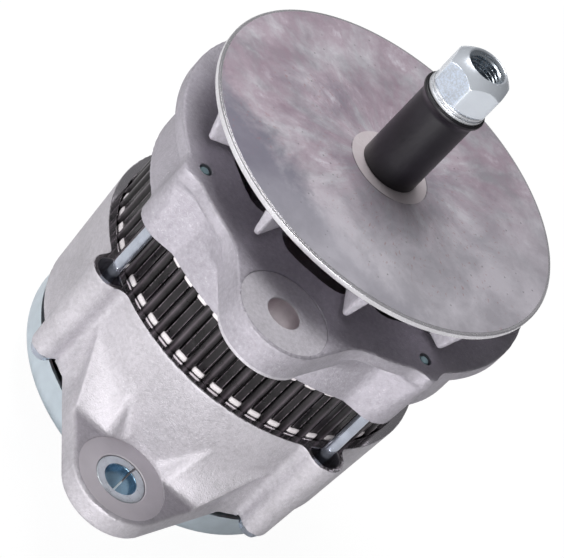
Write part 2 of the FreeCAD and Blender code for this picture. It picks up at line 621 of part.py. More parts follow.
def drive_end_housing():
    """Cast front housing with flange, bolt bosses, front hinge lug and adjusting ear."""
    body = new_body("drive_end_housing")
    taper_z = FLANGE_Z - S.flange_thickness
    turned(body, "front_casting", [
        (0, FLANGE_Z),
        (FLANGE_RADIUS, FLANGE_Z),
        (FLANGE_RADIUS, taper_z),
        (DRIVE_WALL_RADIUS + (FLANGE_RADIUS - DRIVE_WALL_RADIUS) / 3, taper_z - S.flange_taper / 3),
        (DRIVE_WALL_RADIUS, taper_z - S.flange_taper),
        (DRIVE_WALL_RADIUS, DRIVE_EDGE_Z),
        (0, DRIVE_EDGE_Z),
    ])
    bosses = [(x, y, S.drive_boss_radius) for x, y in BOLT_SPOTS]
    slab(body, "front_bosses", taper_z, DRIVE_EDGE_Z, circles=bosses)
    lug_end = FLANGE_Z - S.front_lug_thickness
    web = lug_outline(-1, S.hinge_radius, S.front_lug_radius, S.front_lug_half_width, LUG_ROOT_REACH)
    slab(body, "front_lug_web", FLANGE_Z, lug_end, polygons=[web])
    slab(body, "front_lug_end", FLANGE_Z, lug_end, circles=[(0, -S.hinge_radius, S.front_lug_radius)])
    ear_end = FLANGE_Z - S.ear_thickness
    ear_web = lug_outline(1, S.ear_reach, S.ear_radius, S.ear_half_width, LUG_ROOT_REACH)
    slab(body, "ear_web", FLANGE_Z, ear_end, polygons=[ear_web])
    slab(body, "ear_end", FLANGE_Z, ear_end, circles=[(0, S.ear_reach, S.ear_radius)])
    turned(body, "front_inside", [
        (0, FLANGE_Z + OVERCUT),
        (S.hub_opening_radius, FLANGE_Z + OVERCUT),
        (S.hub_opening_radius, DRIVE_BEARING_Z),
        (S.drive_bearing_radius + S.turned_fit, DRIVE_BEARING_Z),
        (S.drive_bearing_radius + S.turned_fit, DRIVE_BEARING_END_Z),
        (DRIVE_HUB_RADIUS, DRIVE_BEARING_END_Z),
        (DRIVE_HUB_RADIUS, FLANGE_Z - S.face_thickness),
        (CAVITY_RADIUS, FLANGE_Z - S.face_thickness),
        (CAVITY_RADIUS, STACK_TOP_Z),
        (PILOT_RADIUS, STACK_TOP_Z),
        (PILOT_RADIUS, DRIVE_EDGE_Z - OVERCUT),
        (0, DRIVE_EDGE_Z - OVERCUT),
    ], cutting=True)
    vent(body, "front_vent", FLANGE_Z, FLANGE_Z - S.face_thickness,
         S.vent_circle_radius, S.vent_half_width, S.vent_half_angle, S.vent_count)
    hole = S.bolt_radius + S.screw_fit
    cut(body, "front_bolt_holes", FLANGE_Z, DRIVE_EDGE_Z, circles=[(x, y, hole) for x, y in BOLT_SPOTS])
    cut(body, "front_bolt_mouths", FLANGE_Z, FLANGE_Z - S.bolt_mouth_depth,
        circles=[(x, y, S.bolt_mouth_radius) for x, y in BOLT_SPOTS])
    cut(body, "front_spotface", FLANGE_Z, HINGE_Z, circles=[(0, -S.hinge_radius, S.front_spotface_radius)])
    cut(body, "front_hinge_bore", HINGE_Z, lug_end, circles=[(0, -S.hinge_radius, S.hinge_bore_radius)])
    cut(body, "ear_thread", FLANGE_Z, ear_end, circles=[(0, S.ear_reach, S.ear_thread_radius)])
    screw_hole = S.retainer_screw_radius + S.screw_fit
    screw_end = DRIVE_BEARING_END_Z - S.retainer_thickness + S.retainer_screw_length
    spots = corner_spots(S.retainer_screw_circle, 45.0, 4)
    cut(body, "retainer_screw_holes", screw_end, DRIVE_BEARING_END_Z,
        circles=[(x, y, screw_hole) for x, y in spots])
    return body


def rear_housing():
    """Cast rear housing with bolt bosses, bulkhead, rear hinge lug and its gussets."""
    body = new_body("slip_ring_end_housing")
    rear_lug(body)
    turned(body, "rear_casting", [
        (0, REAR_EDGE_Z),
        (REAR_WALL_RADIUS, REAR_EDGE_Z),
        (REAR_END_RADIUS, REAR_WALL_END_Z),
        (0, REAR_WALL_END_Z),
    ])
    bosses = [(x, y, S.rear_boss_end_radius) for x, y in BOLT_SPOTS]
    feature = slab(body, "rear_bosses", REAR_EDGE_Z, REAR_BOSS_END_Z, circles=bosses)
    bind(feature, "TaperAngle", S.rear_boss_draft_angle)
    ground_x, ground_y = polar_spot(GROUND_CIRCLE, S.ground_angle)
    slab(body, "ground_boss", BULKHEAD_Z, REAR_WALL_END_Z,
         circles=[(ground_x, ground_y, S.ground_boss_radius)])
    hub = S.rear_bearing_radius + S.rear_hub_wall
    bore = S.rear_bearing_radius + S.turned_fit
    turned(body, "rear_inside", [
        (0, REAR_EDGE_Z + OVERCUT),
        (PILOT_RADIUS, REAR_EDGE_Z + OVERCUT),
        (PILOT_RADIUS, STACK_END_Z),
        (CAVITY_RADIUS, STACK_END_Z),
        (CAVITY_RADIUS, BULKHEAD_Z),
        (hub, BULKHEAD_Z),
        (hub, REAR_BEARING_Z + S.rear_hub_lip),
        (S.rear_hub_bore_radius, REAR_BEARING_Z + S.rear_hub_lip),
        (S.rear_hub_bore_radius, REAR_BEARING_Z),
        (bore, REAR_BEARING_Z),
        (bore, REAR_BEARING_END_Z),
        (hub, REAR_BEARING_END_Z),
        (hub, BULKHEAD_END_Z),
        (REAR_SKIRT_RADIUS, BULKHEAD_END_Z),
        (REAR_SKIRT_RADIUS, REAR_LUG_END_Z - OVERCUT),
        (0, REAR_LUG_END_Z - OVERCUT),
    ], cutting=True)
    vent(body, "rear_vent", BULKHEAD_Z, BULKHEAD_END_Z, S.rear_vent_circle_radius,
         S.rear_vent_half_width, S.rear_vent_half_angle, S.rear_vent_count)
    cut(body, "boss_pockets", REAR_EDGE_Z, REAR_EDGE_Z - S.boss_pocket_depth,
        circles=[(x, y, S.boss_pocket_radius) for x, y in BOLT_SPOTS])
    hole = S.bolt_radius + S.bolt_clearance
    cut(body, "rear_bolt_holes", REAR_EDGE_Z, REAR_BOSS_END_Z, circles=[(x, y, hole) for x, y in BOLT_SPOTS])
    relief = S.bolt_head_radius + S.bolt_head_clearance
    cut(body, "bolt_head_relief", REAR_BOSS_END_Z, REAR_WALL_END_Z,
        circles=[(x, y, relief) for x, y in BOLT_SPOTS])
    cut(body, "rear_spotface", REAR_SPOTFACE_Z + S.spotface_cutter_height, REAR_SPOTFACE_Z,
        circles=[(0, -S.hinge_radius, S.rear_spotface_radius)])
    bushing_bore = S.bushing_radius + S.bushing_fit
    cut(body, "bushing_bore", REAR_LUG_Z, REAR_LUG_END_Z, circles=[(0, -S.hinge_radius, bushing_bore)])
    screw_hole = S.small_screw_radius + S.screw_fit
    holes = [(x, y, screw_hole) for x, y in bulkhead_screw_spots()]
    holes += [(x, y, S.lead_hole_radius) for x, y in lead_spots()]
    cut(body, "bulkhead_holes", BULKHEAD_Z, BULKHEAD_END_Z, circles=holes)
    cut(body, "ground_thread", REAR_WALL_END_Z + S.ground_screw_length, REAR_WALL_END_Z,
        circles=[(ground_x, ground_y, S.ground_screw_radius + S.screw_fit)])
    return body


def bulkhead_screw_spots():
    """Every small screw hole in the bulkhead, seen from the front."""
    spots = holder_spots() + regulator_spots() + [clamp_spot()] + standoff_spots()
    for side in (-1, 1):
        for step in (-1, 1):
            angle = 270.0 + S.plate_angle * side + S.plate_post_angle * step
            spots.append(polar_spot(PLATE_POST_CIRCLE, angle))
    return spots


def standoff_spots():
    return corner_spots(S.standoff_circle, 0.0, 4)


def lead_angles():
    """Two phases come up beside the positive plate and one beside the negative plate."""
    positive = 270.0 - S.plate_angle
    return [positive, positive + S.diode_angle, 270.0 + S.plate_angle]


def lead_spots():
    return [polar_spot(LEAD_CIRCLE_RADIUS, angle) for angle in lead_angles()]


def clamp_spot():
    x = S.capacitor_offset + S.capacitor_radius + S.clamp_thickness + S.clamp_foot / 2
    return (x, S.capacitor_reach + S.capacitor_length / 2)


def rear_lug(body):
    """Rear hinge lug and two gussets that run out of the wall, scooped out round the hinge axis."""
    web = lug_outline(-1, S.hinge_radius, S.rear_lug_radius, S.rear_lug_half_width, LUG_ROOT_REACH)
    slab(body, "rear_lug_web", REAR_LUG_Z, REAR_LUG_END_Z, polygons=[web])
    slab(body, "rear_lug_end", REAR_LUG_Z, REAR_LUG_END_Z,
         circles=[(0, -S.hinge_radius, S.rear_lug_radius)])
    gusset_top = REAR_LUG_Z + S.gusset_height
    root_reach = REAR_END_RADIUS - S.gusset_top_sink - OVERCUT
    foot = gusset_outline(body, "gusset_foot", REAR_LUG_Z, [
        (S.rear_lug_half_width, root_reach),
        (S.gusset_foot_half_width, REAR_END_RADIUS + S.gusset_foot_stand_out),
        (S.gusset_foot_inner, REAR_END_RADIUS + S.gusset_inner_stand_out),
    ])
    top = gusset_outline(body, "gusset_top", gusset_top, [
        (S.gusset_top_half_width, root_reach),
        (S.gusset_top_half_width, REAR_END_RADIUS - S.gusset_top_sink),
        (S.gusset_top_inner, REAR_END_RADIUS - S.gusset_top_inner_sink),
    ])
    loft = body.newObject("PartDesign::AdditiveLoft", "gussets")
    loft.Profile = foot
    loft.Sections = [top]
    loft.Ruled = True
    scoop_radius = S.hinge_radius - REAR_END_RADIUS + S.gusset_scoop_bite
    cut(body, "gusset_scoop", gusset_top, REAR_LUG_Z, circles=[(0, -S.hinge_radius, scoop_radius)])


def gusset_outline(body, name, level, corners):
    """A sketch of both gussets at one level from the corners of one of them, outermost first."""
    sketch = sketch_in(body, "XY_Plane", name, level)
    left = [(x * -1, reach * -1) for x, reach in corners]
    right = [(x, reach * -1) for x, reach in reversed(corners)]
    add_polygon(sketch, left + right)
    sketch.Visibility = False
    return sketch


def stator_core():
    """Laminated stack with ridges outside and winding slots inside."""
    body = new_body("stator_core", S.stack_angle)
    turned(body, "stack", [
        (STACK_BORE_RADIUS, STACK_TOP_Z),
        (STACK_ROOT_RADIUS, STACK_TOP_Z),
        (STACK_ROOT_RADIUS, STACK_END_Z),
        (STACK_BORE_RADIUS, STACK_END_Z),
    ])
    inside = STACK_ROOT_RADIUS - 1.0
    ridge = slab(body, "ridge", STACK_TOP_Z, STACK_END_Z, polygons=[[
        (inside, -S.ridge_root_width / 2),
        (STACK_ROOT_RADIUS, -S.ridge_root_width / 2),
        (S.stack_radius, -S.ridge_top_width / 2),
        (S.stack_radius, S.ridge_top_width / 2),
        (STACK_ROOT_RADIUS, S.ridge_root_width / 2),
        (inside, S.ridge_root_width / 2),
    ]])
    around(body, "ridges", [ridge], S.ridge_count)
    slot = cut(body, "slot", STACK_TOP_Z, STACK_END_Z, polygons=[
        rectangle(STACK_BORE_RADIUS - OVERCUT, SLOT_BOTTOM_RADIUS, -S.slot_width / 2, S.slot_width / 2),
    ])
    around(body, "slots", [slot], S.ridge_count)
    return body


def stator_winding():
    """Winding bars in the slots and a ring of end turns at each end of the stack."""
    body = new_body("stator_winding", S.stack_angle)
    front_end = STACK_TOP_Z + S.winding_gap
    rear_end = STACK_END_Z - S.winding_gap
    for name, top, bottom in (
        ("front_end_turns", front_end + S.winding_height, front_end),
        ("rear_end_turns", rear_end, rear_end - S.winding_height),
    ):
        middle = (top + bottom) / 2
        bevel = S.winding_height / 4
        feature = turned(body, name, [
            (WINDING_INNER_RADIUS, middle - bevel),
            (WINDING_INNER_RADIUS, middle + bevel),
            (WINDING_INNER_RADIUS + bevel, top),
            (WINDING_OUTER_RADIUS - bevel, top),
            (WINDING_OUTER_RADIUS, middle + bevel),
            (WINDING_OUTER_RADIUS, middle - bevel),
            (WINDING_OUTER_RADIUS - bevel, bottom),
            (WINDING_INNER_RADIUS + bevel, bottom),
        ])
        if name == "front_end_turns":
            half = S.slot_width / 2 - S.slot_clearance
            outer = SLOT_BOTTOM_RADIUS - S.slot_clearance
            bar = slab(body, "bar", front_end + bevel, rear_end - bevel,
                       polygons=[rectangle((STACK_BORE_RADIUS + S.bar_inset), outer, -half, half)])
            around(body, "bars", [bar], S.ridge_count)
    return feature


def through_bolts():
    body = new_body("through_bolts")
    heads = [(x, y, S.bolt_head_radius) for x, y in BOLT_SPOTS]
    shanks = [(x, y, S.bolt_radius) for x, y in BOLT_SPOTS]
    slab(body, "bolt_heads", REAR_BOSS_END_Z, REAR_BOSS_END_Z - S.bolt_head_height, circles=heads)
    slab(body, "bolt_shanks", FLANGE_Z - S.bolt_end_recess, REAR_BOSS_END_Z - S.bolt_head_height / 2,
         circles=shanks)
    return body


def screw_set(label, spots, seat, height, radius, bite, head_radius):
    """Screws that share one node: heads behind a seat and shanks that run forward from it."""
    body = new_body(label)
    slab(body, label + "_heads", seat, seat - height, circles=[(x, y, head_radius) for x, y in spots])
    slab(body, label + "_shanks", seat + bite, seat - height / 2, circles=[(x, y, radius) for x, y in spots])
    return body


def bearing(prefix, top, width, inner, outer, ball_radius):
    """Ball bearing: outer ring, inner ring, balls and two seals."""
    middle_radius = (inner + outer) / 2
    inner_land = middle_radius - ball_radius - S.ball_fit
    outer_land = middle_radius + ball_radius + S.ball_fit
    bottom = top - width
    ring(prefix + "_bearing_outer_ring", outer_land, outer, top, bottom)
    ring(prefix + "_bearing_inner_ring", inner + S.turned_fit, inner_land, top, bottom)
    seals = new_body(prefix + "_bearing_seals")
    for name, level in (("front", top), ("rear", bottom + S.seal_thickness)):
        turned(seals, f"{prefix}_{name}_seal", [
            (inner_land + S.ball_fit, level),
            (outer_land, level),
            (outer_land, level - S.seal_thickness),
            (inner_land + S.ball_fit, level - S.seal_thickness),
        ])
    balls = []
    step_angle = 360.0 / S.ball_count.number
    for step in range(int(S.ball_count.number)):
        ball = doc.addObject("Part::Sphere", f"{prefix}_ball_{step}")
        bind(ball, "Radius", ball_radius)
        x, y = polar_spot(middle_radius, step_angle * step)
        bind(ball, "Placement.Base.x", x)
        bind(ball, "Placement.Base.y", y)
        bind(ball, "Placement.Base.z", (top + bottom) / 2)
        balls.append(ball)
    ball_set = doc.addObject("Part::Compound", prefix + "_bearing_balls")
    ball_set.Label = prefix + "_bearing_balls"
    ball_set.Links = balls
    place(ball_set)
    PARTS.append(ball_set)


def bearing_retainer():
    body = new_body("bearing_retainer")
    top = DRIVE_BEARING_END_Z
    bottom = top - S.retainer_thickness
    edge = DRIVE_HUB_RADIUS - S.retainer_margin
    turned(body, "retainer_plate", [
        (S.retainer_bore_radius, top), (edge, top), (edge, bottom), (S.retainer_bore_radius, bottom),
    ])
    hole = S.retainer_screw_radius + S.screw_fit
    spots = corner_spots(S.retainer_screw_circle, 45.0, 4)
    cut(body, "retainer_holes", top, bottom, circles=[(x, y, hole) for x, y in spots])
    screw_set("retainer_screws", spots, bottom, S.retainer_head_height, S.retainer_screw_radius,
              S.retainer_screw_length, S.retainer_head_radius)


def rotor_shaft():
    body = new_body("rotor_shaft")
    step_z = S.sleeve_length - S.thread_lead_in
    thread_end = NUT_TOP_Z - S.shaft_recess
    chamfer = 1.0
    turned(body, "shaft", [
        (0, thread_end),
        (S.thread_radius - chamfer, thread_end),
        (S.thread_radius, thread_end - chamfer),
        (S.thread_radius, step_z),
        (S.drive_shaft_radius, step_z),
        (S.drive_shaft_radius, DRIVE_BEARING_Z),
        (S.bearing_shaft_radius, DRIVE_BEARING_Z),
        (S.bearing_shaft_radius, DRIVE_BEARING_END_Z),
        (S.shoulder_radius, DRIVE_BEARING_END_Z),
        (S.shoulder_radius, POLE_TOP_Z),
        (S.core_shaft_radius, POLE_TOP_Z),
        (S.core_shaft_radius, POLE_END_Z),
        (S.rear_shoulder_radius, POLE_END_Z),
        (S.rear_shoulder_radius, REAR_BEARING_Z),
        (S.rear_shaft_radius, REAR_BEARING_Z),
        (S.rear_shaft_radius, REAR_BEARING_END_Z),
        (S.slip_shaft_radius, REAR_BEARING_END_Z),
        (S.slip_shaft_radius, SLIP_HUB_END_Z),
        (0, SLIP_HUB_END_Z),
    ])
    top, bottom = key_levels()
    cut(body, "keyway", top, bottom, polygons=[key_outline(S.screw_fit)])
    return body


def key_levels():
    middle = -S.fan_hub_depth / 2
    return middle + S.key_length / 2, middle - S.key_length / 2


def key_outline(margin):
    """Plan view of the fan key, half in the shaft and half in the hub."""
    half = S.key_width / 2 + margin
    near = S.drive_shaft_radius - S.key_height / 2 - margin
    far = S.drive_shaft_radius + S.key_height / 2 + margin
    return rectangle(-half, half, near, far)


def fan():
    """Cast fan: disc and hub with straight tapered blades behind the disc."""
    body = new_body("fan", S.blade_angle)
    back = -S.fan_disc_thickness
    turned(body, "disc", [
        (S.drive_shaft_radius + S.turned_fit, 0),
        (S.fan_radius, 0),
        (S.fan_radius, back),
        (S.fan_hub_radius, back),
        (S.fan_hub_radius, -S.fan_hub_depth),
        (S.drive_shaft_radius + S.turned_fit, -S.fan_hub_depth),
    ])
    sketch = sketch_in(body, "YZ_Plane", "blade_section", S.fan_hub_radius - 1.0)
    add_polygon(sketch, [
        (-S.blade_root_width / 2, back / 2),
        (S.blade_root_width / 2, back / 2),
        (S.blade_edge_width / 2, -S.fan_depth),
        (-S.blade_edge_width / 2, -S.fan_depth),
    ])
    blade = body.newObject("PartDesign::Pad", "blade")
    blade.Profile = sketch
    bind(blade, "Length", S.blade_disc_reach - S.fan_hub_radius + 1.0)
    sketch.Visibility = False
    around(body, "blades", [blade], S.blade_count)
    turned(body, "blade_ends", [
        (S.blade_disc_reach, back),
        (S.blade_disc_reach - S.blade_end_taper, -S.fan_depth),
        (S.blade_disc_reach - S.blade_end_taper, -S.fan_depth - OVERCUT),
        (S.fan_radius + OVERCUT, -S.fan_depth - OVERCUT),
        (S.fan_radius + OVERCUT, back),
    ], cutting=True)
    turned(body, "blade_starts", [
        (S.fan_hub_radius, -S.fan_depth / 2),
        (S.blade_inner_reach, -S.fan_depth),
        (S.blade_inner_reach, -S.fan_depth - OVERCUT),
        (S.fan_hub_radius, -S.fan_depth - OVERCUT),
    ], cutting=True)
    keyway = turned_outline(key_outline(S.screw_fit), S.blade_angle)
    cut(body, "fan_keyway", as_size(0.0), key_levels()[1], polygons=[keyway])
    return body


def turned_outline(corners, turn):
    """The outline as a body sees it that is itself turned by this angle."""
    turn = as_size(turn)
    return [
        (x * cosine(turn) + y * sine(turn), y * cosine(turn) - x * sine(turn))
        for x, y in corners
    ]


def fan_key():
    body = new_body("fan_key")
    top, bottom = key_levels()
    slab(body, "key", top, bottom, polygons=[key_outline(as_size(0.0))])
    return body


def shaft_sleeve():
    body = new_body("shaft_sleeve")
    inner = S.drive_shaft_radius + S.turned_fit
    lip_z = S.sleeve_length - S.sleeve_lip_height
    turned(body, "sleeve", [
        (inner, 0),
        (S.sleeve_radius, 0),
        (S.sleeve_radius, lip_z),
        (S.sleeve_lip_radius, lip_z + S.sleeve_lip_height * 2 / 3),
        (S.sleeve_lip_radius, S.sleeve_length),
        (inner, S.sleeve_length),
    ])
    return body


def pulley_nut():
    """Tall hexagon nut with a rounded crown and a bevelled foot."""
    body = new_body("pulley_nut", S.nut_angle)
    slab(body, "hexagon", NUT_TOP_Z, NUT_Z, polygons=[hexagon(S.nut_across_flats)])
    flat = S.nut_across_flats / 2
    corner = S.nut_across_flats / math.sqrt(3.0) + OVERCUT
    turned(body, "crown", [
        (flat * 0.72, NUT_TOP_Z),
        (flat * 0.92, NUT_TOP_Z - S.nut_crown * 0.35),
        (flat * 1.1547, NUT_TOP_Z - S.nut_crown * 1.25),
        (corner + OVERCUT, NUT_TOP_Z - S.nut_crown * 1.25),
        (corner + OVERCUT, NUT_TOP_Z + OVERCUT),
        (flat * 0.72, NUT_TOP_Z + OVERCUT),
    ], cutting=True)
    turned(body, "foot_bevel", [
        (flat * 0.97, NUT_Z),
        (corner, NUT_Z + (corner - flat * 0.97) * 0.5),
        (corner, NUT_Z - OVERCUT),
        (flat * 0.97, NUT_Z - OVERCUT),
    ], cutting=True)
    hole = S.thread_radius + S.turned_fit
    turned(body, "nut_thread", [
        (0, NUT_TOP_Z + OVERCUT),
        (hole + S.nut_lead_in, NUT_TOP_Z + OVERCUT),
        (hole + S.nut_lead_in, NUT_TOP_Z),
        (hole, NUT_TOP_Z - S.nut_lead_in),
        (hole, NUT_Z - OVERCUT),
        (0, NUT_Z - OVERCUT),
    ], cutting=True)
    return body


def pole_piece(label, near, side, turn):
    """Disc with claws that reach over the coil; side is the way that the claws point."""
    body = new_body(label, turn)
    far = near + S.pole_disc_thickness * side
    tip = near + (S.pole_length - S.claw_end_gap) * side
    bore = S.core_shaft_radius + S.turned_fit
    low, high = (near, far) if side > 0 else (far, near)
    turned(body, label + "_disc", [
        (bore, high), (POLE_DISC_RADIUS, high), (POLE_DISC_RADIUS, low), (bore, low),
    ])
    outside = ROTOR_RADIUS + OVERCUT
    arm = slab(body, label + "_arm", high, low, polygons=[
        rectangle(POLE_DISC_RADIUS - OVERCUT * 2, outside, -S.claw_root_width / 2, S.claw_root_width / 2),
    ])
    sketches = []
    for name, level, width in (("root", far, S.claw_root_width), ("tip", tip, S.claw_tip_width)):
        sketch = sketch_in(body, "XY_Plane", f"{label}_{name}", level)
        add_polygon(sketch, rectangle(CLAW_INNER_RADIUS, outside, -width / 2, width / 2))
        sketch.Visibility = False
        sketches.append(sketch)
    claw = body.newObject("PartDesign::AdditiveLoft", label + "_claw")
    claw.Profile = sketches[0]
    claw.Sections = [sketches[1]]
    claw.Ruled = True
    around(body, label + "_claws", [arm, claw], S.claw_count)
    top, bottom = (tip, near) if side > 0 else (near, tip)
    turned(body, label + "_outside", [
        (ROTOR_RADIUS, top + OVERCUT),
        (outside + OVERCUT * 2, top + OVERCUT),
        (outside + OVERCUT * 2, bottom - OVERCUT),
        (ROTOR_RADIUS, bottom - OVERCUT),
    ], cutting=True)
    return body


def field_coil():
    """Core, bobbin and coil between the two pole pieces."""
    top = POLE_TOP_Z - S.pole_disc_thickness
    bottom = POLE_END_Z + S.pole_disc_thickness
    ring("rotor_core", S.core_shaft_radius + S.turned_fit, S.core_radius, top, bottom)
    inner = S.core_radius + S.turned_fit
    wall = S.bobbin_wall
    bobbin = new_body("coil_bobbin")
    turned(bobbin, "bobbin", [
        (inner, top), (COIL_RADIUS, top), (COIL_RADIUS, top - wall), (inner + wall, top - wall),
        (inner + wall, bottom + wall), (COIL_RADIUS, bottom + wall), (COIL_RADIUS, bottom), (inner, bottom),
    ])
    ring("field_coil", inner + wall, COIL_RADIUS - wall, top - wall, bottom + wall)


def slip_rings():
    hub = new_body("slip_ring_hub")
    inner = S.slip_shaft_radius + S.turned_fit
    turned(hub, "hub", [
        (inner, SLIP_HUB_Z), (S.slip_hub_radius, SLIP_HUB_Z),
        (S.slip_hub_radius, SLIP_HUB_END_Z), (inner, SLIP_HUB_END_Z),
    ])
    seat = S.slip_hub_radius + S.turned_fit
    ring("slip_ring_front", seat, S.slip_ring_radius, FRONT_RING_Z, FRONT_RING_Z - S.slip_ring_width)
    ring("slip_ring_rear", seat, S.slip_ring_radius, REAR_RING_Z, REAR_RING_Z - S.slip_ring_width)


def brush_levels():
    """Middle level of each brush, on its slip ring."""
    half = S.slip_ring_width / 2
    return (("brush_front", FRONT_RING_Z - half), ("brush_rear", REAR_RING_Z - half))


def brush_holder():
    """Moulded holder with a channel for each brush and two screwed ears."""
    body = new_body("brush_holder")
    slab(body, "holder", HOLDER_Z, HOLDER_END_Z, polygons=[
        rectangle(-S.holder_half_width, S.holder_half_width, S.holder_inner_reach, S.holder_outer_reach),
    ])
    ear_end = HOLDER_Z - S.holder_ear_thickness
    slab(body, "holder_ears", HOLDER_Z, ear_end, polygons=[
        rectangle(-S.holder_ear_half_width, S.holder_ear_half_width,
                  S.holder_ear_inner_reach, S.holder_outer_reach - OVERCUT),
    ])
    spots = holder_spots()
    cut(body, "holder_ear_holes", HOLDER_Z, ear_end,
        circles=[(x, y, S.small_screw_radius + S.screw_fit) for x, y in spots])
    half_x = S.brush_width / 2 + S.brush_fit
    half_z = S.brush_thickness / 2 + S.brush_fit
    sketch = sketch_in(body, "XZ_Plane", "brush_channels", -S.holder_inner_reach)
    for name, level in brush_levels():
        add_polygon(sketch, rectangle(-half_x, half_x, level - half_z, level + half_z))
    channels = body.newObject("PartDesign::Pocket", "channels")
    channels.Profile = sketch
    bind(channels, "Length", S.holder_outer_reach - S.holder_end_wall - S.holder_inner_reach)
    sketch.Visibility = False
    return body


def holder_spots():
    return [(S.holder_screw_offset * side, S.holder_screw_reach) for side in (-1, 1)]


def brushes():
    half_x = S.brush_width / 2
    near = S.slip_ring_radius + S.brush_gap
    for label, level in brush_levels():
        body = new_body(label)
        slab(body, label + "_block", level + S.brush_thickness / 2, level - S.brush_thickness / 2,
             polygons=[rectangle(-half_x, half_x, near, near + S.brush_length)])


def brush_springs():
    """A coil spring of square wire behind each brush, short of the holder's end wall."""
    near = S.slip_ring_radius + S.brush_gap + S.brush_length
    far = S.holder_outer_reach - S.holder_end_wall - S.brush_lift
    for brush, level in brush_levels():
        label = brush.replace("brush_", "brush_spring_")
        body = new_body(label)
        sketch = sketch_in(body, "YZ_Plane", label + "_wire")
        low = level + S.spring_radius - S.spring_wire / 2
        high = level + S.spring_radius + S.spring_wire / 2
        add_polygon(sketch, rectangle(near, near + S.spring_wire, low, high))
        ends = (vector(near.number, level.number, 0), vector(far.number, level.number, 0))
        axis = sketch.addGeometry(Part.LineSegment(*ends), True)
        hold_point(sketch, axis, 1, near, level)
        hold_point(sketch, axis, 2, far, level)
        coil = body.newObject("PartDesign::AdditiveHelix", label + "_coil")
        coil.Profile = sketch
        coil.ReferenceAxis = (sketch, ["Axis0"])
        coil.Mode = "height-turns-angle"
        bind(coil, "Height", far - near - S.spring_wire)
        bind(coil, "Turns", S.spring_turns)
        sketch.Visibility = False


def holder_mounting():
    """Two posts between bulkhead and brush holder, and the long screws through them."""
    spots = holder_spots()
    posts = new_body("brush_holder_posts")
    hole = S.small_screw_radius + S.screw_fit
    slab(posts, "holder_posts", BULKHEAD_END_Z, HOLDER_Z, circles=[(x, y, S.pad_radius) for x, y in spots])
    cut(posts, "holder_post_holes", BULKHEAD_END_Z, HOLDER_Z, circles=[(x, y, hole) for x, y in spots])
    seat = HOLDER_Z - S.holder_ear_thickness
    screw_set("brush_holder_screws", spots, seat, S.small_head_height, S.small_screw_radius,
              BULKHEAD_END_Z - seat + S.bulkhead_bite, S.small_head_radius)


def sector_plate(label, centre):
    """Rectifier plate: a sector with press holes for its diodes and screw holes."""
    body = new_body(label, centre)
    turned(body, label + "_sector", [
        (-S.plate_inner_radius, PLATE_Z),
        (-PLATE_OUTER_RADIUS, PLATE_Z),
        (-PLATE_OUTER_RADIUS, PLATE_END_Z),
        (-S.plate_inner_radius, PLATE_END_Z),
    ], sector=S.plate_span, plane="YZ_Plane")
    holes = [(x, y, S.diode_radius) for x, y in plate_spots(S.diode_circle_radius, S.diode_angle, (-1, 0, 1))]
    screws = plate_spots(PLATE_POST_CIRCLE, S.plate_post_angle, (-1, 1))
    holes += [(x, y, S.small_screw_radius + S.screw_fit) for x, y in screws]
    if label.startswith("positive"):
        x, y = polar_spot(S.output_circle, S.output_angle - centre)
        holes.append((x, y, S.output_stud_radius + S.screw_fit))
    cut(body, label + "_holes", PLATE_Z, PLATE_END_Z, circles=holes)
    return body


def plate_spots(radius, pitch, steps):
    return [(radius * sine(pitch * step), -(radius * cosine(pitch * step))) for step in steps]


def diodes(label, centre):
    """Three pressed-in diodes with their leads, on one plate."""
    body = new_body(label, centre)
    top = PLATE_Z + (S.diode_height - S.plate_thickness) / 2
    spots = plate_spots(S.diode_circle_radius, S.diode_angle, (-1, 0, 1))
    slab(body, label + "_cases", top, top - S.diode_height, circles=[(x, y, S.diode_radius) for x, y in spots])
    slab(body, label + "_leads", top - S.diode_height / 2, top - S.diode_height - S.diode_lead_length,
         circles=[(x, y, S.diode_lead_radius) for x, y in spots])
    return body


def rectifier():
    """Both plates with their diodes, hollow posts and screws."""
    for sign, side in (("positive", -1), ("negative", 1)):
        turn = S.plate_angle * side
        sector_plate(f"{sign}_rectifier_plate", turn)
        diodes(f"{sign}_diodes", turn)
        plate_mounting(sign, turn)


def plate_mounting(sign, turn):
    """Two hollow posts under a rectifier plate and the screws that run through them."""
    spots = plate_spots(PLATE_POST_CIRCLE, S.plate_post_angle, (-1, 1))
    hole = S.small_screw_radius + S.screw_fit
    posts = new_body(f"{sign}_plate_posts", turn)
    slab(posts, f"{sign}_posts", BULKHEAD_END_Z, PLATE_Z,
         circles=[(x, y, S.plate_post_radius) for x, y in spots])
    cut(posts, f"{sign}_post_holes", BULKHEAD_END_Z, PLATE_Z, circles=[(x, y, hole) for x, y in spots])
    screws = new_body(f"{sign}_plate_screws", turn)
    slab(screws, f"{sign}_screw_heads", PLATE_END_Z, PLATE_END_Z - S.small_head_height,
         circles=[(x, y, S.small_head_radius) for x, y in spots])
    slab(screws, f"{sign}_screw_shanks", BULKHEAD_END_Z + S.bulkhead_bite, PLATE_END_Z - S.small_head_height / 2,
         circles=[(x, y, S.small_screw_radius) for x, y in spots])


def phase_leads():
    """Three leads from the end turns through the bulkhead, each with a strap to its diode."""
    body = new_body("phase_leads")
    strap_z = PLATE_Z + (S.diode_height - S.plate_thickness) / 2 - S.diode_height - S.diode_lead_length
    strap_end = strap_z - S.strap_thickness
    lead_top = STACK_END_Z - S.winding_gap - S.winding_height
    slab(body, "leads", lead_top, strap_end, circles=[(x, y, S.lead_radius) for x, y in lead_spots()])
    straps = [
        strap_outline(angle, S.diode_circle_radius - S.strap_half_width, LEAD_CIRCLE_RADIUS + S.lead_radius)
        for angle in lead_angles()
    ]
    slab(body, "straps", strap_z, strap_end, polygons=straps)
    return body


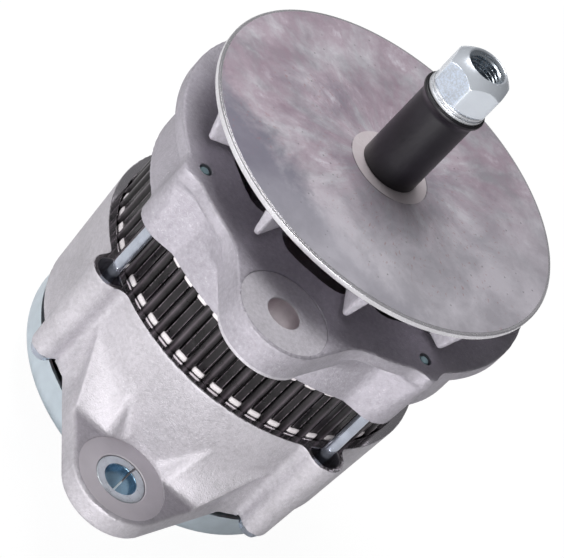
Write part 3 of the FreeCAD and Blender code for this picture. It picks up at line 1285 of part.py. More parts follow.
def strap_outline(angle, near, far):
    corners = rectangle(near, far, -S.strap_half_width, S.strap_half_width)
    return turned_outline(corners, -angle)


def regulator():
    """Sealed voltage regulator on its base plate, with two screws."""
    body = new_body("voltage_regulator")
    left = -(S.regulator_inner + S.regulator_width)
    near = S.regulator_front
    far = near + S.regulator_length
    base_end = BULKHEAD_END_Z - S.regulator_ear
    slab(body, "regulator_base", BULKHEAD_END_Z, base_end,
         polygons=[rectangle(left, -S.regulator_inner, near, far)])
    ear = S.small_head_radius * 2 + 1.0
    slab(body, "regulator_case", BULKHEAD_END_Z, BULKHEAD_END_Z - S.regulator_height,
         polygons=[rectangle(left, -S.regulator_inner, near + ear, far - ear)])
    spots = regulator_spots()
    cut(body, "regulator_holes", BULKHEAD_END_Z, base_end,
        circles=[(x, y, S.small_screw_radius + S.screw_fit) for x, y in spots])
    screw_set("regulator_screws", spots, base_end, S.small_head_height, S.small_screw_radius,
              S.regulator_ear + S.bulkhead_bite, S.small_head_radius)


def regulator_spots():
    x = -(S.regulator_inner + S.regulator_width / 2)
    inset = S.small_head_radius + 0.5
    return [(x, S.regulator_front + inset), (x, S.regulator_front + S.regulator_length - inset)]


def capacitor():
    """Round capacitor on the bulkhead, its strap clamp and the clamp screw."""
    level = BULKHEAD_END_Z - S.clamp_thickness - S.capacitor_radius
    can = new_body("capacitor")
    sketch = sketch_in(can, "XZ_Plane", "capacitor_end", -(S.capacitor_reach + S.capacitor_length))
    add_circle(sketch, S.capacitor_offset, level, S.capacitor_radius)
    case = can.newObject("PartDesign::Pad", "capacitor_case")
    case.Profile = sketch
    bind(case, "Length", S.capacitor_length)
    sketch.Visibility = False
    clamp = new_body("capacitor_clamp")
    middle = S.capacitor_reach + S.capacitor_length / 2
    sketch = sketch_in(clamp, "XZ_Plane", "clamp_side", -(middle + S.clamp_width / 2))
    outer = S.capacitor_radius + S.clamp_thickness
    foot_end = S.capacitor_offset + outer + S.clamp_foot
    add_circle(sketch, S.capacitor_offset, level, outer)
    strap = clamp.newObject("PartDesign::Pad", "clamp_strap")
    strap.Profile = sketch
    bind(strap, "Length", S.clamp_width)
    sketch.Visibility = False
    slab(clamp, "clamp_foot", BULKHEAD_END_Z, BULKHEAD_END_Z - S.clamp_thickness, polygons=[
        rectangle(S.capacitor_offset, foot_end, middle - S.clamp_width / 2, middle + S.clamp_width / 2),
    ])
    sketch = sketch_in(clamp, "XZ_Plane", "clamp_inside", -(middle + S.clamp_width))
    add_circle(sketch, S.capacitor_offset, level, S.capacitor_radius + S.turned_fit)
    inside = clamp.newObject("PartDesign::Pocket", "clamp_bore")
    inside.Profile = sketch
    inside.Reversed = True
    bind(inside, "Length", S.clamp_width * 2)
    sketch.Visibility = False
    x, y = clamp_spot()
    cut(clamp, "clamp_hole", BULKHEAD_END_Z, BULKHEAD_END_Z - S.clamp_thickness,
        circles=[(x, y, S.small_screw_radius + S.screw_fit)])
    screw_set("capacitor_screw", [(x, y)], BULKHEAD_END_Z - S.clamp_thickness, S.small_head_height,
              S.small_screw_radius, S.clamp_thickness + S.bulkhead_bite, S.small_head_radius)


def rear_cover():
    """Dished steel cup over the rectifier, with air holes and a hole for the output stud."""
    body = new_body("rear_cover")
    wall = S.cover_wall
    turned(body, "cup", [
        (0, COVER_END_Z),
        ((COVER_RADIUS - S.cover_flat_inset), COVER_END_Z),
        ((COVER_RADIUS - S.cover_shoulder_inset), COVER_SHOULDER_Z - S.cover_crown * 0.55),
        (COVER_RADIUS, COVER_SHOULDER_Z),
        (COVER_RADIUS, COVER_Z),
        (COVER_RADIUS - wall, COVER_Z),
        (COVER_RADIUS - wall, COVER_SHOULDER_Z),
        ((COVER_RADIUS - S.cover_shoulder_inset) - wall, COVER_SHOULDER_Z - S.cover_crown * 0.5),
        ((COVER_RADIUS - S.cover_flat_inset) - wall, COVER_INSIDE_Z),
        (0, COVER_INSIDE_Z),
    ])
    vent_hole = cut(body, "cover_vent", COVER_INSIDE_Z, COVER_END_Z,
                    circles=[(S.cover_vent_circle, 0, S.cover_vent_radius)])
    around(body, "cover_vents", [vent_hole], S.cover_vent_count)
    holes = [(x, y, S.small_screw_radius + S.screw_fit) for x, y in standoff_spots()]
    x, y = output_spot()
    holes.append((x, y, S.output_bush_radius + S.screw_fit))
    cut(body, "cover_holes", COVER_INSIDE_Z, COVER_END_Z, circles=holes)
    return body


def output_spot():
    return polar_spot(S.output_circle, S.output_angle)


def output_terminal():
    """Output stud through plate and cover, its insulator and its nut."""
    x, y = output_spot()
    stud = new_body("output_stud")
    slab(stud, "stud_head", PLATE_Z + S.output_head_height, PLATE_Z, circles=[(x, y, S.output_head_radius)])
    flange_end = COVER_END_Z - S.output_bush_flange
    nut_end = flange_end - S.output_nut_height
    slab(stud, "stud", PLATE_Z, nut_end, circles=[(x, y, S.output_stud_radius)])
    slab(stud, "stud_end", nut_end, COVER_END_Z - S.output_stud_length, circles=[(x, y, S.output_end_radius)])
    bush = new_body("output_insulator")
    slab(bush, "bush", PLATE_END_Z, flange_end, circles=[(x, y, S.output_bush_radius)])
    slab(bush, "bush_flange", COVER_END_Z, flange_end, circles=[(x, y, S.output_flange_radius)])
    bore = S.output_stud_radius + S.screw_fit
    cut(bush, "bush_bore", PLATE_END_Z, flange_end, circles=[(x, y, bore)])
    nut = new_body("output_nut")
    slab(nut, "nut", flange_end, nut_end, polygons=[moved(hexagon(S.output_nut_flats), x, y)])
    cut(nut, "nut_bore", flange_end, nut_end, circles=[(x, y, bore)])


def ground_screw():
    """Screw in the ground boss behind the rear housing."""
    screw_set("ground_screw", [polar_spot(GROUND_CIRCLE, S.ground_angle)], REAR_WALL_END_Z,
              S.ground_head_height, S.ground_screw_radius, S.ground_screw_length - 1.0, S.ground_head_radius)


def hinge_bushing():
    """Split steel bushing that slides in the rear lug and takes up the bracket."""
    body = new_body("hinge_bushing")
    top = REAR_SPOTFACE_Z - S.bushing_sink
    bottom = REAR_LUG_END_Z - S.bushing_overhang
    slab(body, "bushing", top, bottom, circles=[
        (0, -S.hinge_radius, S.bushing_radius),
        (0, -S.hinge_radius, S.hinge_bore_radius),
    ])
    half = S.bushing_slot / 2
    outline = rectangle(S.hinge_bore_radius - OVERCUT, S.bushing_radius + OVERCUT, -half, half)
    slot = moved(turned_outline(outline, -S.bushing_slot_angle), 0.0, -S.hinge_radius)
    cut(body, "bushing_split", top, bottom, polygons=[slot])
    return body


def cover_mounting():
    """Standoffs that are screwed into the bulkhead and carry the cover, with its screws."""
    spots = standoff_spots()
    body = new_body("cover_standoffs")
    slab(body, "standoffs", BULKHEAD_END_Z, COVER_INSIDE_Z,
         circles=[(x, y, S.standoff_radius) for x, y in spots])
    slab(body, "standoff_studs", BULKHEAD_END_Z + S.bulkhead_bite, BULKHEAD_END_Z - 1.0,
         circles=[(x, y, S.small_screw_radius) for x, y in spots])
    hole = S.small_screw_radius + S.screw_fit
    depth = COVER_INSIDE_Z + S.small_screw_bite + 1.0
    cut(body, "standoff_threads", depth, COVER_INSIDE_Z, circles=[(x, y, hole) for x, y in spots])
    screw_set("cover_screws", spots, COVER_END_Z, S.small_head_height, S.small_screw_radius,
              S.cover_wall + S.small_screw_bite, S.small_head_radius)


drive_end_housing()
rear_housing()
stator_core()
stator_winding()
phase_leads()
through_bolts()
bearing("drive", DRIVE_BEARING_Z, S.drive_bearing_width, S.bearing_shaft_radius, S.drive_bearing_radius,
        S.drive_ball_radius)
bearing("rear", REAR_BEARING_Z, S.rear_bearing_width, S.rear_shaft_radius, S.rear_bearing_radius,
        S.rear_ball_radius)
bearing_retainer()
rotor_shaft()
ring("fan_spacer", S.drive_shaft_radius + S.turned_fit, S.shoulder_radius, -S.fan_hub_depth, DRIVE_BEARING_Z)
fan()
fan_key()
shaft_sleeve()
ring("nut_washer", S.thread_radius + 1.0, S.washer_radius, NUT_Z, WASHER_Z)
pulley_nut()
pole_piece("front_pole_piece", POLE_TOP_Z, -1, as_size(0.0))
pole_piece("rear_pole_piece", POLE_END_Z, 1, 180.0 / S.claw_count)
field_coil()
slip_rings()
brush_holder()
holder_mounting()
brushes()
brush_springs()
rectifier()
regulator()
capacitor()
rear_cover()
cover_mounting()
output_terminal()
ground_screw()
hinge_bushing()
doc.recompute()


def check_document():
    """Stop if a feature failed, a cut removed nothing or a piece is not a sound shape."""
    for item in doc.Objects:
        if "Invalid" in item.State or "Error" in item.State:
            raise RuntimeError(f"{item.Label}: {item.State}")
        if item.TypeId in ("PartDesign::Pocket", "PartDesign::Groove"):
            if item.Shape.Volume >= item.BaseFeature.Shape.Volume - 0.01:
                raise RuntimeError(f"{item.Label} cuts nothing")
    for piece in PARTS:
        if piece.Shape.isNull() or not piece.Shape.isValid():
            raise RuntimeError(f"{piece.Label} is not a sound shape")


check_document()
os.makedirs("parts", exist_ok=True)
for piece in PARTS:
    piece.Shape.exportStep(f"parts/{piece.Label}.step")
print(len(PARTS), "pieces written")
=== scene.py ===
import math

import bmesh
import bpy
import numpy as np
from mathutils import Matrix


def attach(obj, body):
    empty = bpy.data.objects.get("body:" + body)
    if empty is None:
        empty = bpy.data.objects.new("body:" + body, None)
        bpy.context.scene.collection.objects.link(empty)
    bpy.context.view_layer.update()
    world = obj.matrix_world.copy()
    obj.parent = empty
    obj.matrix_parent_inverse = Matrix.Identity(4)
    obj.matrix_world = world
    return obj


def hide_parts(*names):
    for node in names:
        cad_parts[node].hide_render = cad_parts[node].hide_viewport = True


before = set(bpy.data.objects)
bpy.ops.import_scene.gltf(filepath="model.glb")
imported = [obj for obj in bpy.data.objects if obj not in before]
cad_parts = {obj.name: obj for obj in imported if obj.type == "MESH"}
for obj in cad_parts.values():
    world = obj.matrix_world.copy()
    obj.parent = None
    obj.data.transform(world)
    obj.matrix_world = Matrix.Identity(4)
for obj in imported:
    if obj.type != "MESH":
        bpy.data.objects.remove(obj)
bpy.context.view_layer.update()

bl_info = {
    "name": "Engine alternator",
    "version": (1, 0, 0),
    "blender": (4, 5, 0),
    "location": "View3D > Sidebar > Alternator",
    "description": "Dresses the packed frame of an engine alternator",
    "category": "Object",
}

# Levels along the shaft in millimetres, measured down from the front face of the fan
FAN_PLATE_Z = -1.2
FAN_BACK_Z = -2.9
FAN_BLADE_END_Z = -17.7
FAN_HUB_END_Z = -17.9
FLANGE_Z = -19.4
HINGE_Z = -19.9
DRIVE_BEARING_Z = -24.0
FLANGE_UNDER_Z = FLANGE_Z - 6.0
DRIVE_HUB_END_Z = -41.0
STACK_TOP_Z = -47.0
DRIVE_EDGE_Z = -52.5
RIM_Z = -82.5
STACK_END_Z = -88.0
REAR_HUB_Z = -106.9
REAR_BEARING_Z = -110.3
BULKHEAD_Z = -111.8
REAR_HUB_END_Z = -122.3
REAR_LUG_Z = -126.9
REAR_SPOTFACE_Z = -127.4
REAR_BOSS_END_Z = -131.2
REAR_WALL_END_Z = -134.2
REAR_LUG_END_Z = -137.3
COVER_Z = -138.9
COVER_END_Z = -157.2

# Radii and distances from the shaft in millimetres
FLANGE_R = 81.0
DRIVE_WALL_R = 74.1
REAR_WALL_R = 73.4
STACK_SEAT_R = 69.7
FAN_PLATE_R = 76.6
FAN_HUB_R = 18.7
COVER_R = 69.2
BUSHING_SEAT_R = 10.94
HINGE_REACH = 89.2
EAR_REACH = 92.0
BOLT_REACH = 75.5 * math.sqrt(0.5)
BOLT_SPOTS = [(BOLT_REACH * a, BOLT_REACH * b) for a, b in ((1, 1), (-1, 1), (-1, -1), (1, -1))]

BLADES = 10
BARS = 48
BAR_TURN = -0.06  # first round bar of the stack, in pitches of 7.5 degrees


def polar(radius, degrees):
    """Plan point at a radius and an angle from the x axis."""
    return radius * math.cos(math.radians(degrees)), radius * math.sin(math.radians(degrees))


GROUND_SPOT = polar(72.0, 110.0)
STUD_SPOT = polar(51.0, 212.0)


def in_frame(points):
    """Millimetres about the shaft and the fan face become metres in the row frame."""
    return (np.asarray(points, float) + (0.0, HINGE_REACH, -HINGE_Z)) / 1000.0


# ---------------------------------------------------------------- solids as distance fields

def fillet_join(a, b, radius):
    """Union of two fields with a round fillet where their faces meet."""
    corner = np.hypot(np.maximum(radius - a, 0), np.maximum(radius - b, 0))
    return np.maximum(radius, np.minimum(a, b)) - corner


def round_meet(a, b, radius):
    """Intersection of two fields with a round edge: the join of their outsides, turned over."""
    return -fillet_join(-a, -b, radius)


def remove(body, *holes):
    """The body less its holes: the greater of the body's field and each hole's, turned over."""
    for hole in holes:
        body = np.maximum(body, -hole)
    return body


def folded(angle, pitch):
    """Angle from the nearest whole number of pitches."""
    return (angle + pitch / 2) % pitch - pitch / 2


def boss_distance(x, y):
    """Distance from the nearest of the four bolts."""
    return np.hypot(np.abs(x) - BOLT_REACH, np.abs(y) - BOLT_REACH)


def hinge_distance(x, y):
    """Distance from the axis of the hinge bolt."""
    return np.hypot(x, y + HINGE_REACH)


def lug_plan(x, y, reach, tip, half_width, root):
    """Plan of a lug that points along -y: flanks from the root tangent to the round tip."""
    along = reach - root
    square = along * along + half_width * half_width
    tangent = math.sqrt(square - tip * tip)
    touch_x = tip * (tip * half_width + tangent * along) / square
    touch_y = reach - tip * (tip * along - tangent * half_width) / square
    flank = np.abs(x) * touch_x / tip + (-y - reach) * (touch_y - reach) / tip - tip
    web = np.maximum(np.maximum(flank, -y - touch_y), y + root)
    return np.minimum(web, np.hypot(x, y + reach) - tip)


def arc_slots(x, y, circle, half_width, half_angle, count):
    """Curved slots with round ends, the first one on the hinge side."""
    rho = np.hypot(x, y)
    angle = np.abs(folded(np.arctan2(x, -y), 2 * math.pi / count))
    half = math.radians(half_angle)
    over = np.maximum(angle - half, 0)
    along = rho * np.cos(over) - circle
    across = rho * np.sin(over)
    return np.where(angle < half, np.abs(rho - circle), np.hypot(along, across)) - half_width


def corner_block(x, y, half, corner):
    """Square about the shaft with round corners, which hold the bolts."""
    a, b = np.abs(x) - half + corner, np.abs(y) - half + corner
    return np.hypot(np.maximum(a, 0), np.maximum(b, 0)) + np.minimum(np.maximum(a, b), 0) - corner


def drive_housing_field(x, y, z):
    """Wall, square bolt corners, flange, lug and ear joined by fillets, then cut flat and bored.

    The bolt corners grow and get rounder from the flange to the wall's edge.
    """
    rho, boss, hinge = np.hypot(x, y), boss_distance(x, y), hinge_distance(x, y)
    low = np.clip((FLANGE_UNDER_Z - z) / 27.0, 0.0, 1.0)
    corners = corner_block(x, y, half=60.8 + 0.5 * low, corner=3.0 + 8.0 * low)
    wall = round_meet(fillet_join(rho - DRIVE_WALL_R, corners, 1.2), DRIVE_EDGE_Z - z, 0.5)
    plate = fillet_join(rho - FLANGE_R, corner_block(x, y, half=60.6, corner=3.0), 2.5)
    body = fillet_join(wall, round_meet(plate, FLANGE_UNDER_Z - z, 0.9), 2.5)
    draft = 0.09 * (z - FLANGE_Z)
    lug = lug_plan(x, y, HINGE_REACH, tip=19.5, half_width=36.0, root=60.0) - 0.9 - draft
    body = fillet_join(body, round_meet(lug, FLANGE_Z - 15.0 - z, 1.8), 5.0)
    ear = lug_plan(x, -y, EAR_REACH, tip=12.0, half_width=17.0, root=60.0)
    body = fillet_join(body, round_meet(ear, FLANGE_Z - 16.0 - z, 2.5), 6.0)
    body = round_meet(body, z - FLANGE_Z, 0.9)
    hub = round_meet(rho - 38.0, DRIVE_HUB_END_Z - z, 1.5)
    cavity = round_meet(round_meet(rho - 67.0, z - FLANGE_UNDER_Z, 4.0), -hub, 2.0)
    stack_seat = np.maximum(rho - STACK_SEAT_R, z - STACK_TOP_Z)
    bearing_seat = np.maximum(rho - 31.05, z - DRIVE_BEARING_Z)
    shaft_hole = rho - 23.0
    air_slots = arc_slots(x, y, circle=50.5, half_width=8.85, half_angle=9.5, count=8)
    bolt_holes = boss - 2.45
    bolt_mouths = np.maximum(boss - 3.5, FLANGE_Z - 5.0 - z)
    spotface = np.maximum(hinge - 18.9, HINGE_Z - 1.0 - z)
    hinge_hole = hinge - 7.3
    ear_hole = np.hypot(x, y - EAR_REACH) - 4.25
    return remove(body, cavity, stack_seat, bearing_seat, shaft_hole, air_slots, bolt_holes,
                  bolt_mouths, spotface, hinge_hole, ear_hole)


def gusset_rise(z):
    """How far a level is up the gussets: 0 at the rear lug, 1 at 22.3 mm above it."""
    return np.clip((z - REAR_LUG_Z) / 22.3, 0.0, 1.3)


def beside_line(side, reach, start, end):
    """Distance of (side, reach) from the line through start and end, positive on its left."""
    run, rise = end[0] - start[0], end[1] - start[1]
    return ((reach - start[1]) * run - (side - start[0]) * rise) / np.hypot(run, rise)


def gussets(x, y, z):
    """The two ribs beside the rear lug, from their foot at the lug up to where they run into the wall.

    Each has a front face through an inner and an outer corner line and a flank from the outer
    corner line back to the wall; the lines are straight from the foot to the top.
    """
    up = gusset_rise(z)
    side, reach = np.abs(x), -y
    inner = (13.2 + 5.3 * up, 75.6 - 5.6 * up)
    outer = (29.8 + 12.7 * up, 75.9 - 17.2 * up)
    root = (38.0 + 6.0 * up, 57.9 - 3.0 * up)
    front = beside_line(side, reach, inner, outer)
    flank = -beside_line(side, reach, root, outer)
    ribs = round_meet(np.maximum(front, 50.0 - reach), flank, 0.6)
    return np.maximum(ribs, np.abs(z + 115.5) - 16.5)


def rear_housing_field(x, y, z):
    """Drafted wall, tapered bosses, lug and scooped gussets joined by fillets, then faced and bored."""
    rho, boss, hinge = np.hypot(x, y), boss_distance(x, y), hinge_distance(x, y)
    draft = 2.4 * (RIM_Z - z) / 50.3
    wall = round_meet(rho - REAR_WALL_R + draft, REAR_WALL_END_Z - z, 0.8)
    column = round_meet(boss - 6.3 - 0.0472 * (z - REAR_BOSS_END_Z), REAR_BOSS_END_Z - z, 0.8)
    body = fillet_join(wall, column, 4.0)
    scoop = 19.0 + 7.7 * gusset_rise(z) - hinge
    body = fillet_join(body, round_meet(gussets(x, y, z), scoop, 1.8), 1.3)
    lug = lug_plan(x, y, HINGE_REACH, tip=21.3, half_width=43.5, root=49.5)
    lug = round_meet(round_meet(lug, z - REAR_LUG_Z, 1.3), REAR_LUG_END_Z - z, 2.0)
    body = fillet_join(body, lug, 1.6)
    ground = np.hypot(x - GROUND_SPOT[0], y - GROUND_SPOT[1])
    post = round_meet(round_meet(ground - 7.0, z - BULKHEAD_Z, 2.0), REAR_WALL_END_Z - z, 0.8)
    body = round_meet(fillet_join(body, post, 3.0), z - RIM_Z, 0.35)
    bulkhead = np.maximum(z - BULKHEAD_Z, BULKHEAD_Z - 6.0 - z)
    hub = round_meet(rho - 26.0, np.maximum(z - REAR_HUB_Z, REAR_HUB_END_Z - z), 1.0)
    inside = np.where(z > BULKHEAD_Z - 3.0, 67.0, 67.3)
    hollow = np.maximum(rho - inside, -np.minimum(bulkhead, hub))
    stack_seat = np.maximum(rho - STACK_SEAT_R, STACK_END_Z - z)
    bearing_seat = np.maximum(rho - 20.05, z - REAR_BEARING_Z)
    shaft_hole = rho - 14.0
    air_slots = arc_slots(x, y, circle=38.0, half_width=5.0, half_angle=4.0, count=8)
    bolt_pockets = np.maximum(boss - 6.6, RIM_Z - 14.0 - z)
    bolt_holes = boss - 2.7
    head_room = np.maximum(boss - 6.7, z - REAR_BOSS_END_Z)
    spotface = np.maximum(REAR_SPOTFACE_Z - 1.2 - z, z - REAR_SPOTFACE_Z - 5.0)
    spotface = np.maximum(hinge - 19.2, spotface)
    bushing_seat = np.maximum(hinge - BUSHING_SEAT_R, REAR_LUG_END_Z - 2.0 - z)
    ground_hole = np.maximum(ground - 3.05, z - REAR_WALL_END_Z - 9.0)
    return remove(body, hollow, stack_seat, bearing_seat, shaft_hole, air_slots, bolt_pockets,
                  bolt_holes, head_room, spotface, bushing_seat, ground_hole)


def fan_field(x, y, z):
    """Back of the fan: a plate inside the disc, the hub and drafted round-ended blades with fillets."""
    turn = math.radians(-3.0)
    across = x * math.cos(turn) + y * math.sin(turn)
    along = y * math.cos(turn) - x * math.sin(turn)
    rho = np.hypot(x, y)
    angle = folded(np.arctan2(along, across), 2 * math.pi / BLADES)
    out, side = rho * np.cos(angle), np.abs(rho * np.sin(angle))
    half = 2.3 + (z - FAN_BACK_Z) / 13.5
    tip = (out - 75.6 - (z - FAN_BACK_Z) * 0.27) * 0.96
    blade = round_meet(round_meet(side - half, tip, 1.1), FAN_BLADE_END_Z - z, 1.1)
    start = FAN_HUB_R + np.maximum(0.0, -z - 8.85) * 1.39
    blade = np.maximum(blade, (start - out) * 0.58)
    body = fillet_join(np.maximum(rho - FAN_PLATE_R, FAN_BACK_Z - z), blade, 1.4)
    body = fillet_join(body, round_meet(rho - FAN_HUB_R, FAN_HUB_END_Z - z, 0.6), 2.5)
    return remove(np.maximum(body, z - FAN_PLATE_Z), rho - 11.6)


def cover_field(x, y, z):
    """Pressed cup: straight rim, round shoulder and a shallow dish, with its holes."""
    rho = np.hypot(x, y)
    sheet = 1.5
    dish = COVER_END_Z + 1.2 * (rho / 58.0) ** 2
    outer = round_meet(rho - COVER_R, dish - z, 8.0)
    inner = round_meet(rho - 67.7, dish + sheet - z, 6.6)
    body = np.maximum(np.maximum(outer, -inner), z - COVER_Z)
    angle = folded(np.arctan2(y, x), math.pi / 6)
    vents = np.hypot(rho * np.cos(angle) - 26.0, rho * np.sin(angle)) - 3.0
    screws = np.minimum(np.hypot(np.abs(x) - 50.0, y), np.hypot(x, np.abs(y) - 50.0)) - 2.05
    stud = np.hypot(x - STUD_SPOT[0], y - STUD_SPOT[1]) - 4.85
    return remove(body, vents, screws, stud)


# ---------------------------------------------------------------- meshes

def field_slope(field, points):
    """Unit gradient of a field at each point, from central differences."""
    step = 0.01
    columns = []
    for axis in range(3):
        ahead, behind = points.copy(), points.copy()
        ahead[:, axis] += step
        behind[:, axis] -= step
        columns.append(field(*ahead.T) - field(*behind.T))
    slope = np.stack(columns, axis=1)
    return slope / np.maximum(np.linalg.norm(slope, axis=1, keepdims=True), 1e-9)


def contour(field, low, high, pitch):
    """Surface where the field is zero: a point in each crossed cell, a quad on each crossed edge.

    The point is where the tangent planes of the cell's edge crossings meet best, held near
    their mean, so flat faces stay flat and machined edges stay sharp. The grid starts an odd
    share of a cell outside the box, so that no flat face runs through its points.
    """
    outside, mean_pull, farthest = 1.37, 0.06, 0.9
    low = np.asarray(low, float) - outside * pitch
    counts = np.ceil((np.asarray(high) - low) / pitch).astype(int) + 3
    axes = [low[a] + pitch * np.arange(counts[a]) for a in range(3)]
    value = field(axes[0][:, None, None], axes[1][None, :, None], axes[2][None, None, :])
    inside = value < 0
    strides = np.array([counts[1] * counts[2], counts[2], 1])
    cells, points = [], []
    for axis in range(3):
        near = tuple(slice(0, -1) if a == axis else slice(1, -1) for a in range(3))
        far = tuple(slice(1, None) if a == axis else slice(1, -1) for a in range(3))
        spots = np.argwhere(inside[near] != inside[far])
        spots += [0 if a == axis else 1 for a in range(3)]
        ahead = spots.copy()
        ahead[:, axis] += 1
        a, b = value[tuple(spots.T)], value[tuple(ahead.T)]
        place = spots.astype(float)
        place[:, axis] += a / (a - b)
        u, v = (axis + 1) % 3, (axis + 2) % 3
        corner = spots @ strides
        ring = [corner - strides[u] - strides[v], corner - strides[v], corner, corner - strides[u]]
        ring = np.stack(ring, axis=1)
        ring[a > 0] = ring[a > 0][:, ::-1]
        cells.append(ring)
        points.append(low + pitch * place)
    points, cells = np.concatenate(points), np.concatenate(cells)
    normals = field_slope(field, points)
    ids, index = np.unique(cells.ravel(), return_inverse=True)
    index = index.reshape(-1)
    spread = np.repeat(np.arange(len(points)), 4)
    total = len(ids)

    def gathered(values):
        return np.bincount(index, weights=values[spread], minlength=total)

    number = gathered(np.ones(len(points)))
    mean = np.stack([gathered(points[:, a]) for a in range(3)], axis=1) / number[:, None]
    matrix = np.empty((total, 3, 3))
    for a in range(3):
        for b in range(a, 3):
            matrix[:, a, b] = matrix[:, b, a] = gathered(normals[:, a] * normals[:, b])
    level = (normals * points).sum(axis=1)
    target = np.stack([gathered(normals[:, a] * level) for a in range(3)], axis=1)
    rest = target - np.einsum("nij,nj->ni", matrix, mean)
    shift = np.linalg.solve(matrix + mean_pull * np.eye(3), rest[:, :, None])[:, :, 0]
    length = np.linalg.norm(shift, axis=1, keepdims=True)
    shift *= np.minimum(1.0, farthest * pitch / np.maximum(length, 1e-9))
    return mean + shift, index.reshape(-1, 4)


def new_piece(name, points, faces, body, slot, smooth_angle=40.0, nodes=()):
    """A mesh object in the row frame from millimetre points, riding on its body."""
    mesh = bpy.data.meshes.new(name)
    points = in_frame(points)
    if isinstance(faces, np.ndarray):
        sides = faces.shape[1]
        mesh.vertices.add(len(points))
        mesh.vertices.foreach_set("co", points.astype(np.float32).ravel())
        mesh.loops.add(faces.size)
        mesh.loops.foreach_set("vertex_index", faces.astype(np.int32).ravel())
        mesh.polygons.add(len(faces))
        mesh.polygons.foreach_set("loop_start", np.arange(0, faces.size, sides, dtype=np.int32))
        mesh.update(calc_edges=True)
    else:
        mesh.from_pydata(points.tolist(), [], faces)
    mesh.validate()
    piece = bpy.data.objects.new(name, mesh)
    bpy.context.scene.collection.objects.link(piece)
    smooth(mesh, smooth_angle)
    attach(piece, body)
    if nodes:
        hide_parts(*nodes)
    return piece


def smooth(mesh, angle):
    """Smooth shading, with edges kept sharp where faces meet at more than the angle in degrees."""
    mesh.shade_smooth()
    mesh.set_sharp_from_angle(angle=math.radians(angle))


def thinned(name, field, low, high, pitch, share, body, slot, nodes):
    """A contoured solid with its flat stretches thinned out to a share of its faces."""
    points, quads = contour(field, low, high, pitch)
    piece = new_piece(name, points, quads, body, slot, 180.0)
    thin = piece.modifiers.new("thin", "DECIMATE")
    thin.ratio = share
    thin.use_collapse_triangulate = True
    graph = bpy.context.evaluated_depsgraph_get()
    mesh = bpy.data.meshes.new_from_object(piece.evaluated_get(graph))
    piece.modifiers.clear()
    old = piece.data
    piece.data = mesh
    bpy.data.meshes.remove(old)
    mesh.name = name
    smooth(mesh, 42.0)
    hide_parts(*nodes)
    return piece


def closed_piece(name, shape, body, slot, smooth_angle, nodes=(), finish=None):
    """A piece from the points and faces of closed shells, each shell turned outwards."""
    piece = new_piece(name, *shape, body, slot, smooth_angle, nodes)
    mesh = bmesh.new()
    mesh.from_mesh(piece.data)
    bmesh.ops.remove_doubles(mesh, verts=mesh.verts, dist=1e-7)
    bmesh.ops.recalc_face_normals(mesh, faces=mesh.faces)
    mesh.to_mesh(piece.data)
    mesh.free()
    if finish:
        piece.data.materials.append(finish)
    return piece


def face_data(piece):
    """Centres in millimetres about the shaft and normals of a piece's faces."""
    mesh = piece.data
    centres = np.empty(len(mesh.polygons) * 3, np.float32)
    normals = np.empty_like(centres)
    mesh.polygons.foreach_get("center", centres)
    mesh.polygons.foreach_get("normal", normals)
    centres = centres.reshape(-1, 3) * 1000.0 - (0.0, HINGE_REACH, -HINGE_Z)
    return centres, normals.reshape(-1, 3)


def paint_faces(piece, materials, choice):
    """Give each face the material that its number in choice names."""
    piece.data.materials.clear()
    for material in materials:
        piece.data.materials.append(material)
    piece.data.polygons.foreach_set("material_index", choice.astype(np.int32))
    piece.data.update()


def grid_faces(rows, columns, wrap_rows=False, wrap_columns=False, start=0):
    """Quads of a grid of points whose rows follow each other in memory."""
    i = np.arange(rows if wrap_rows else rows - 1)
    j = np.arange(columns if wrap_columns else columns - 1)
    i, j = (a.ravel() for a in np.meshgrid(i, j, indexing="ij"))
    up, right = (i + 1) % rows, (j + 1) % columns
    corners = [i * columns + j, i * columns + right, up * columns + right, up * columns + j]
    return start + np.stack(corners, axis=1)


def around(radius, turn, level, x=0.0, y=0.0):
    """Points (x + r cos t, y + r sin t, level) for matching radii r, turns t and levels."""
    across, along = x + radius * np.cos(turn), y + radius * np.sin(turn)
    return np.stack([across, along, level + 0 * across], axis=-1)


def full_turn(steps):
    """Angles of one turn in equal steps, the last one a step short of the first."""
    return np.linspace(0, 2 * math.pi, steps, endpoint=False)


def lathe(profile, steps, x=0.0, y=0.0):
    """A closed profile of (radius, level) carried round a vertical axis at x, y."""
    profile = np.asarray(profile, float)
    points = around(profile[:, 0][None], full_turn(steps)[:, None], profile[:, 1][None], x, y)
    return points.reshape(-1, 3), grid_faces(steps, len(profile), True, True)


def rounded(corners, radius, steps=4):
    """A closed profile with an arc of the radius at each corner: the arc's middle lies on the
    bisector and its ends touch both sides; the radius is limited by the shorter side."""
    corners = np.asarray(corners, float)
    radii = np.broadcast_to(radius, len(corners))
    out = []
    for before, corner, after, r in zip(np.roll(corners, 1, 0), corners, np.roll(corners, -1, 0), radii):
        a, b = before - corner, after - corner
        la, lb = np.linalg.norm(a), np.linalg.norm(b)
        a, b = a / la, b / lb
        half = math.acos(np.clip(a @ b, -1, 1)) / 2
        reach = min(r / math.tan(half), 0.45 * la, 0.45 * lb) if r > 0 else 0.0
        if reach < 1e-4 or half > 1.55:
            out.append(corner[None])
            continue
        r = reach * math.tan(half)
        middle = corner + (a + b) / np.linalg.norm(a + b) * r / math.sin(half)
        start, end = corner + a * reach - middle, corner + b * reach - middle
        first = math.atan2(start[1], start[0])
        sweep = (math.atan2(end[1], end[0]) - first + math.pi) % (2 * math.pi) - math.pi
        angle = first + sweep * np.linspace(0, 1, steps + 1)
        out.append(middle + r * np.stack([np.cos(angle), np.sin(angle)], axis=1))
    return np.concatenate(out)


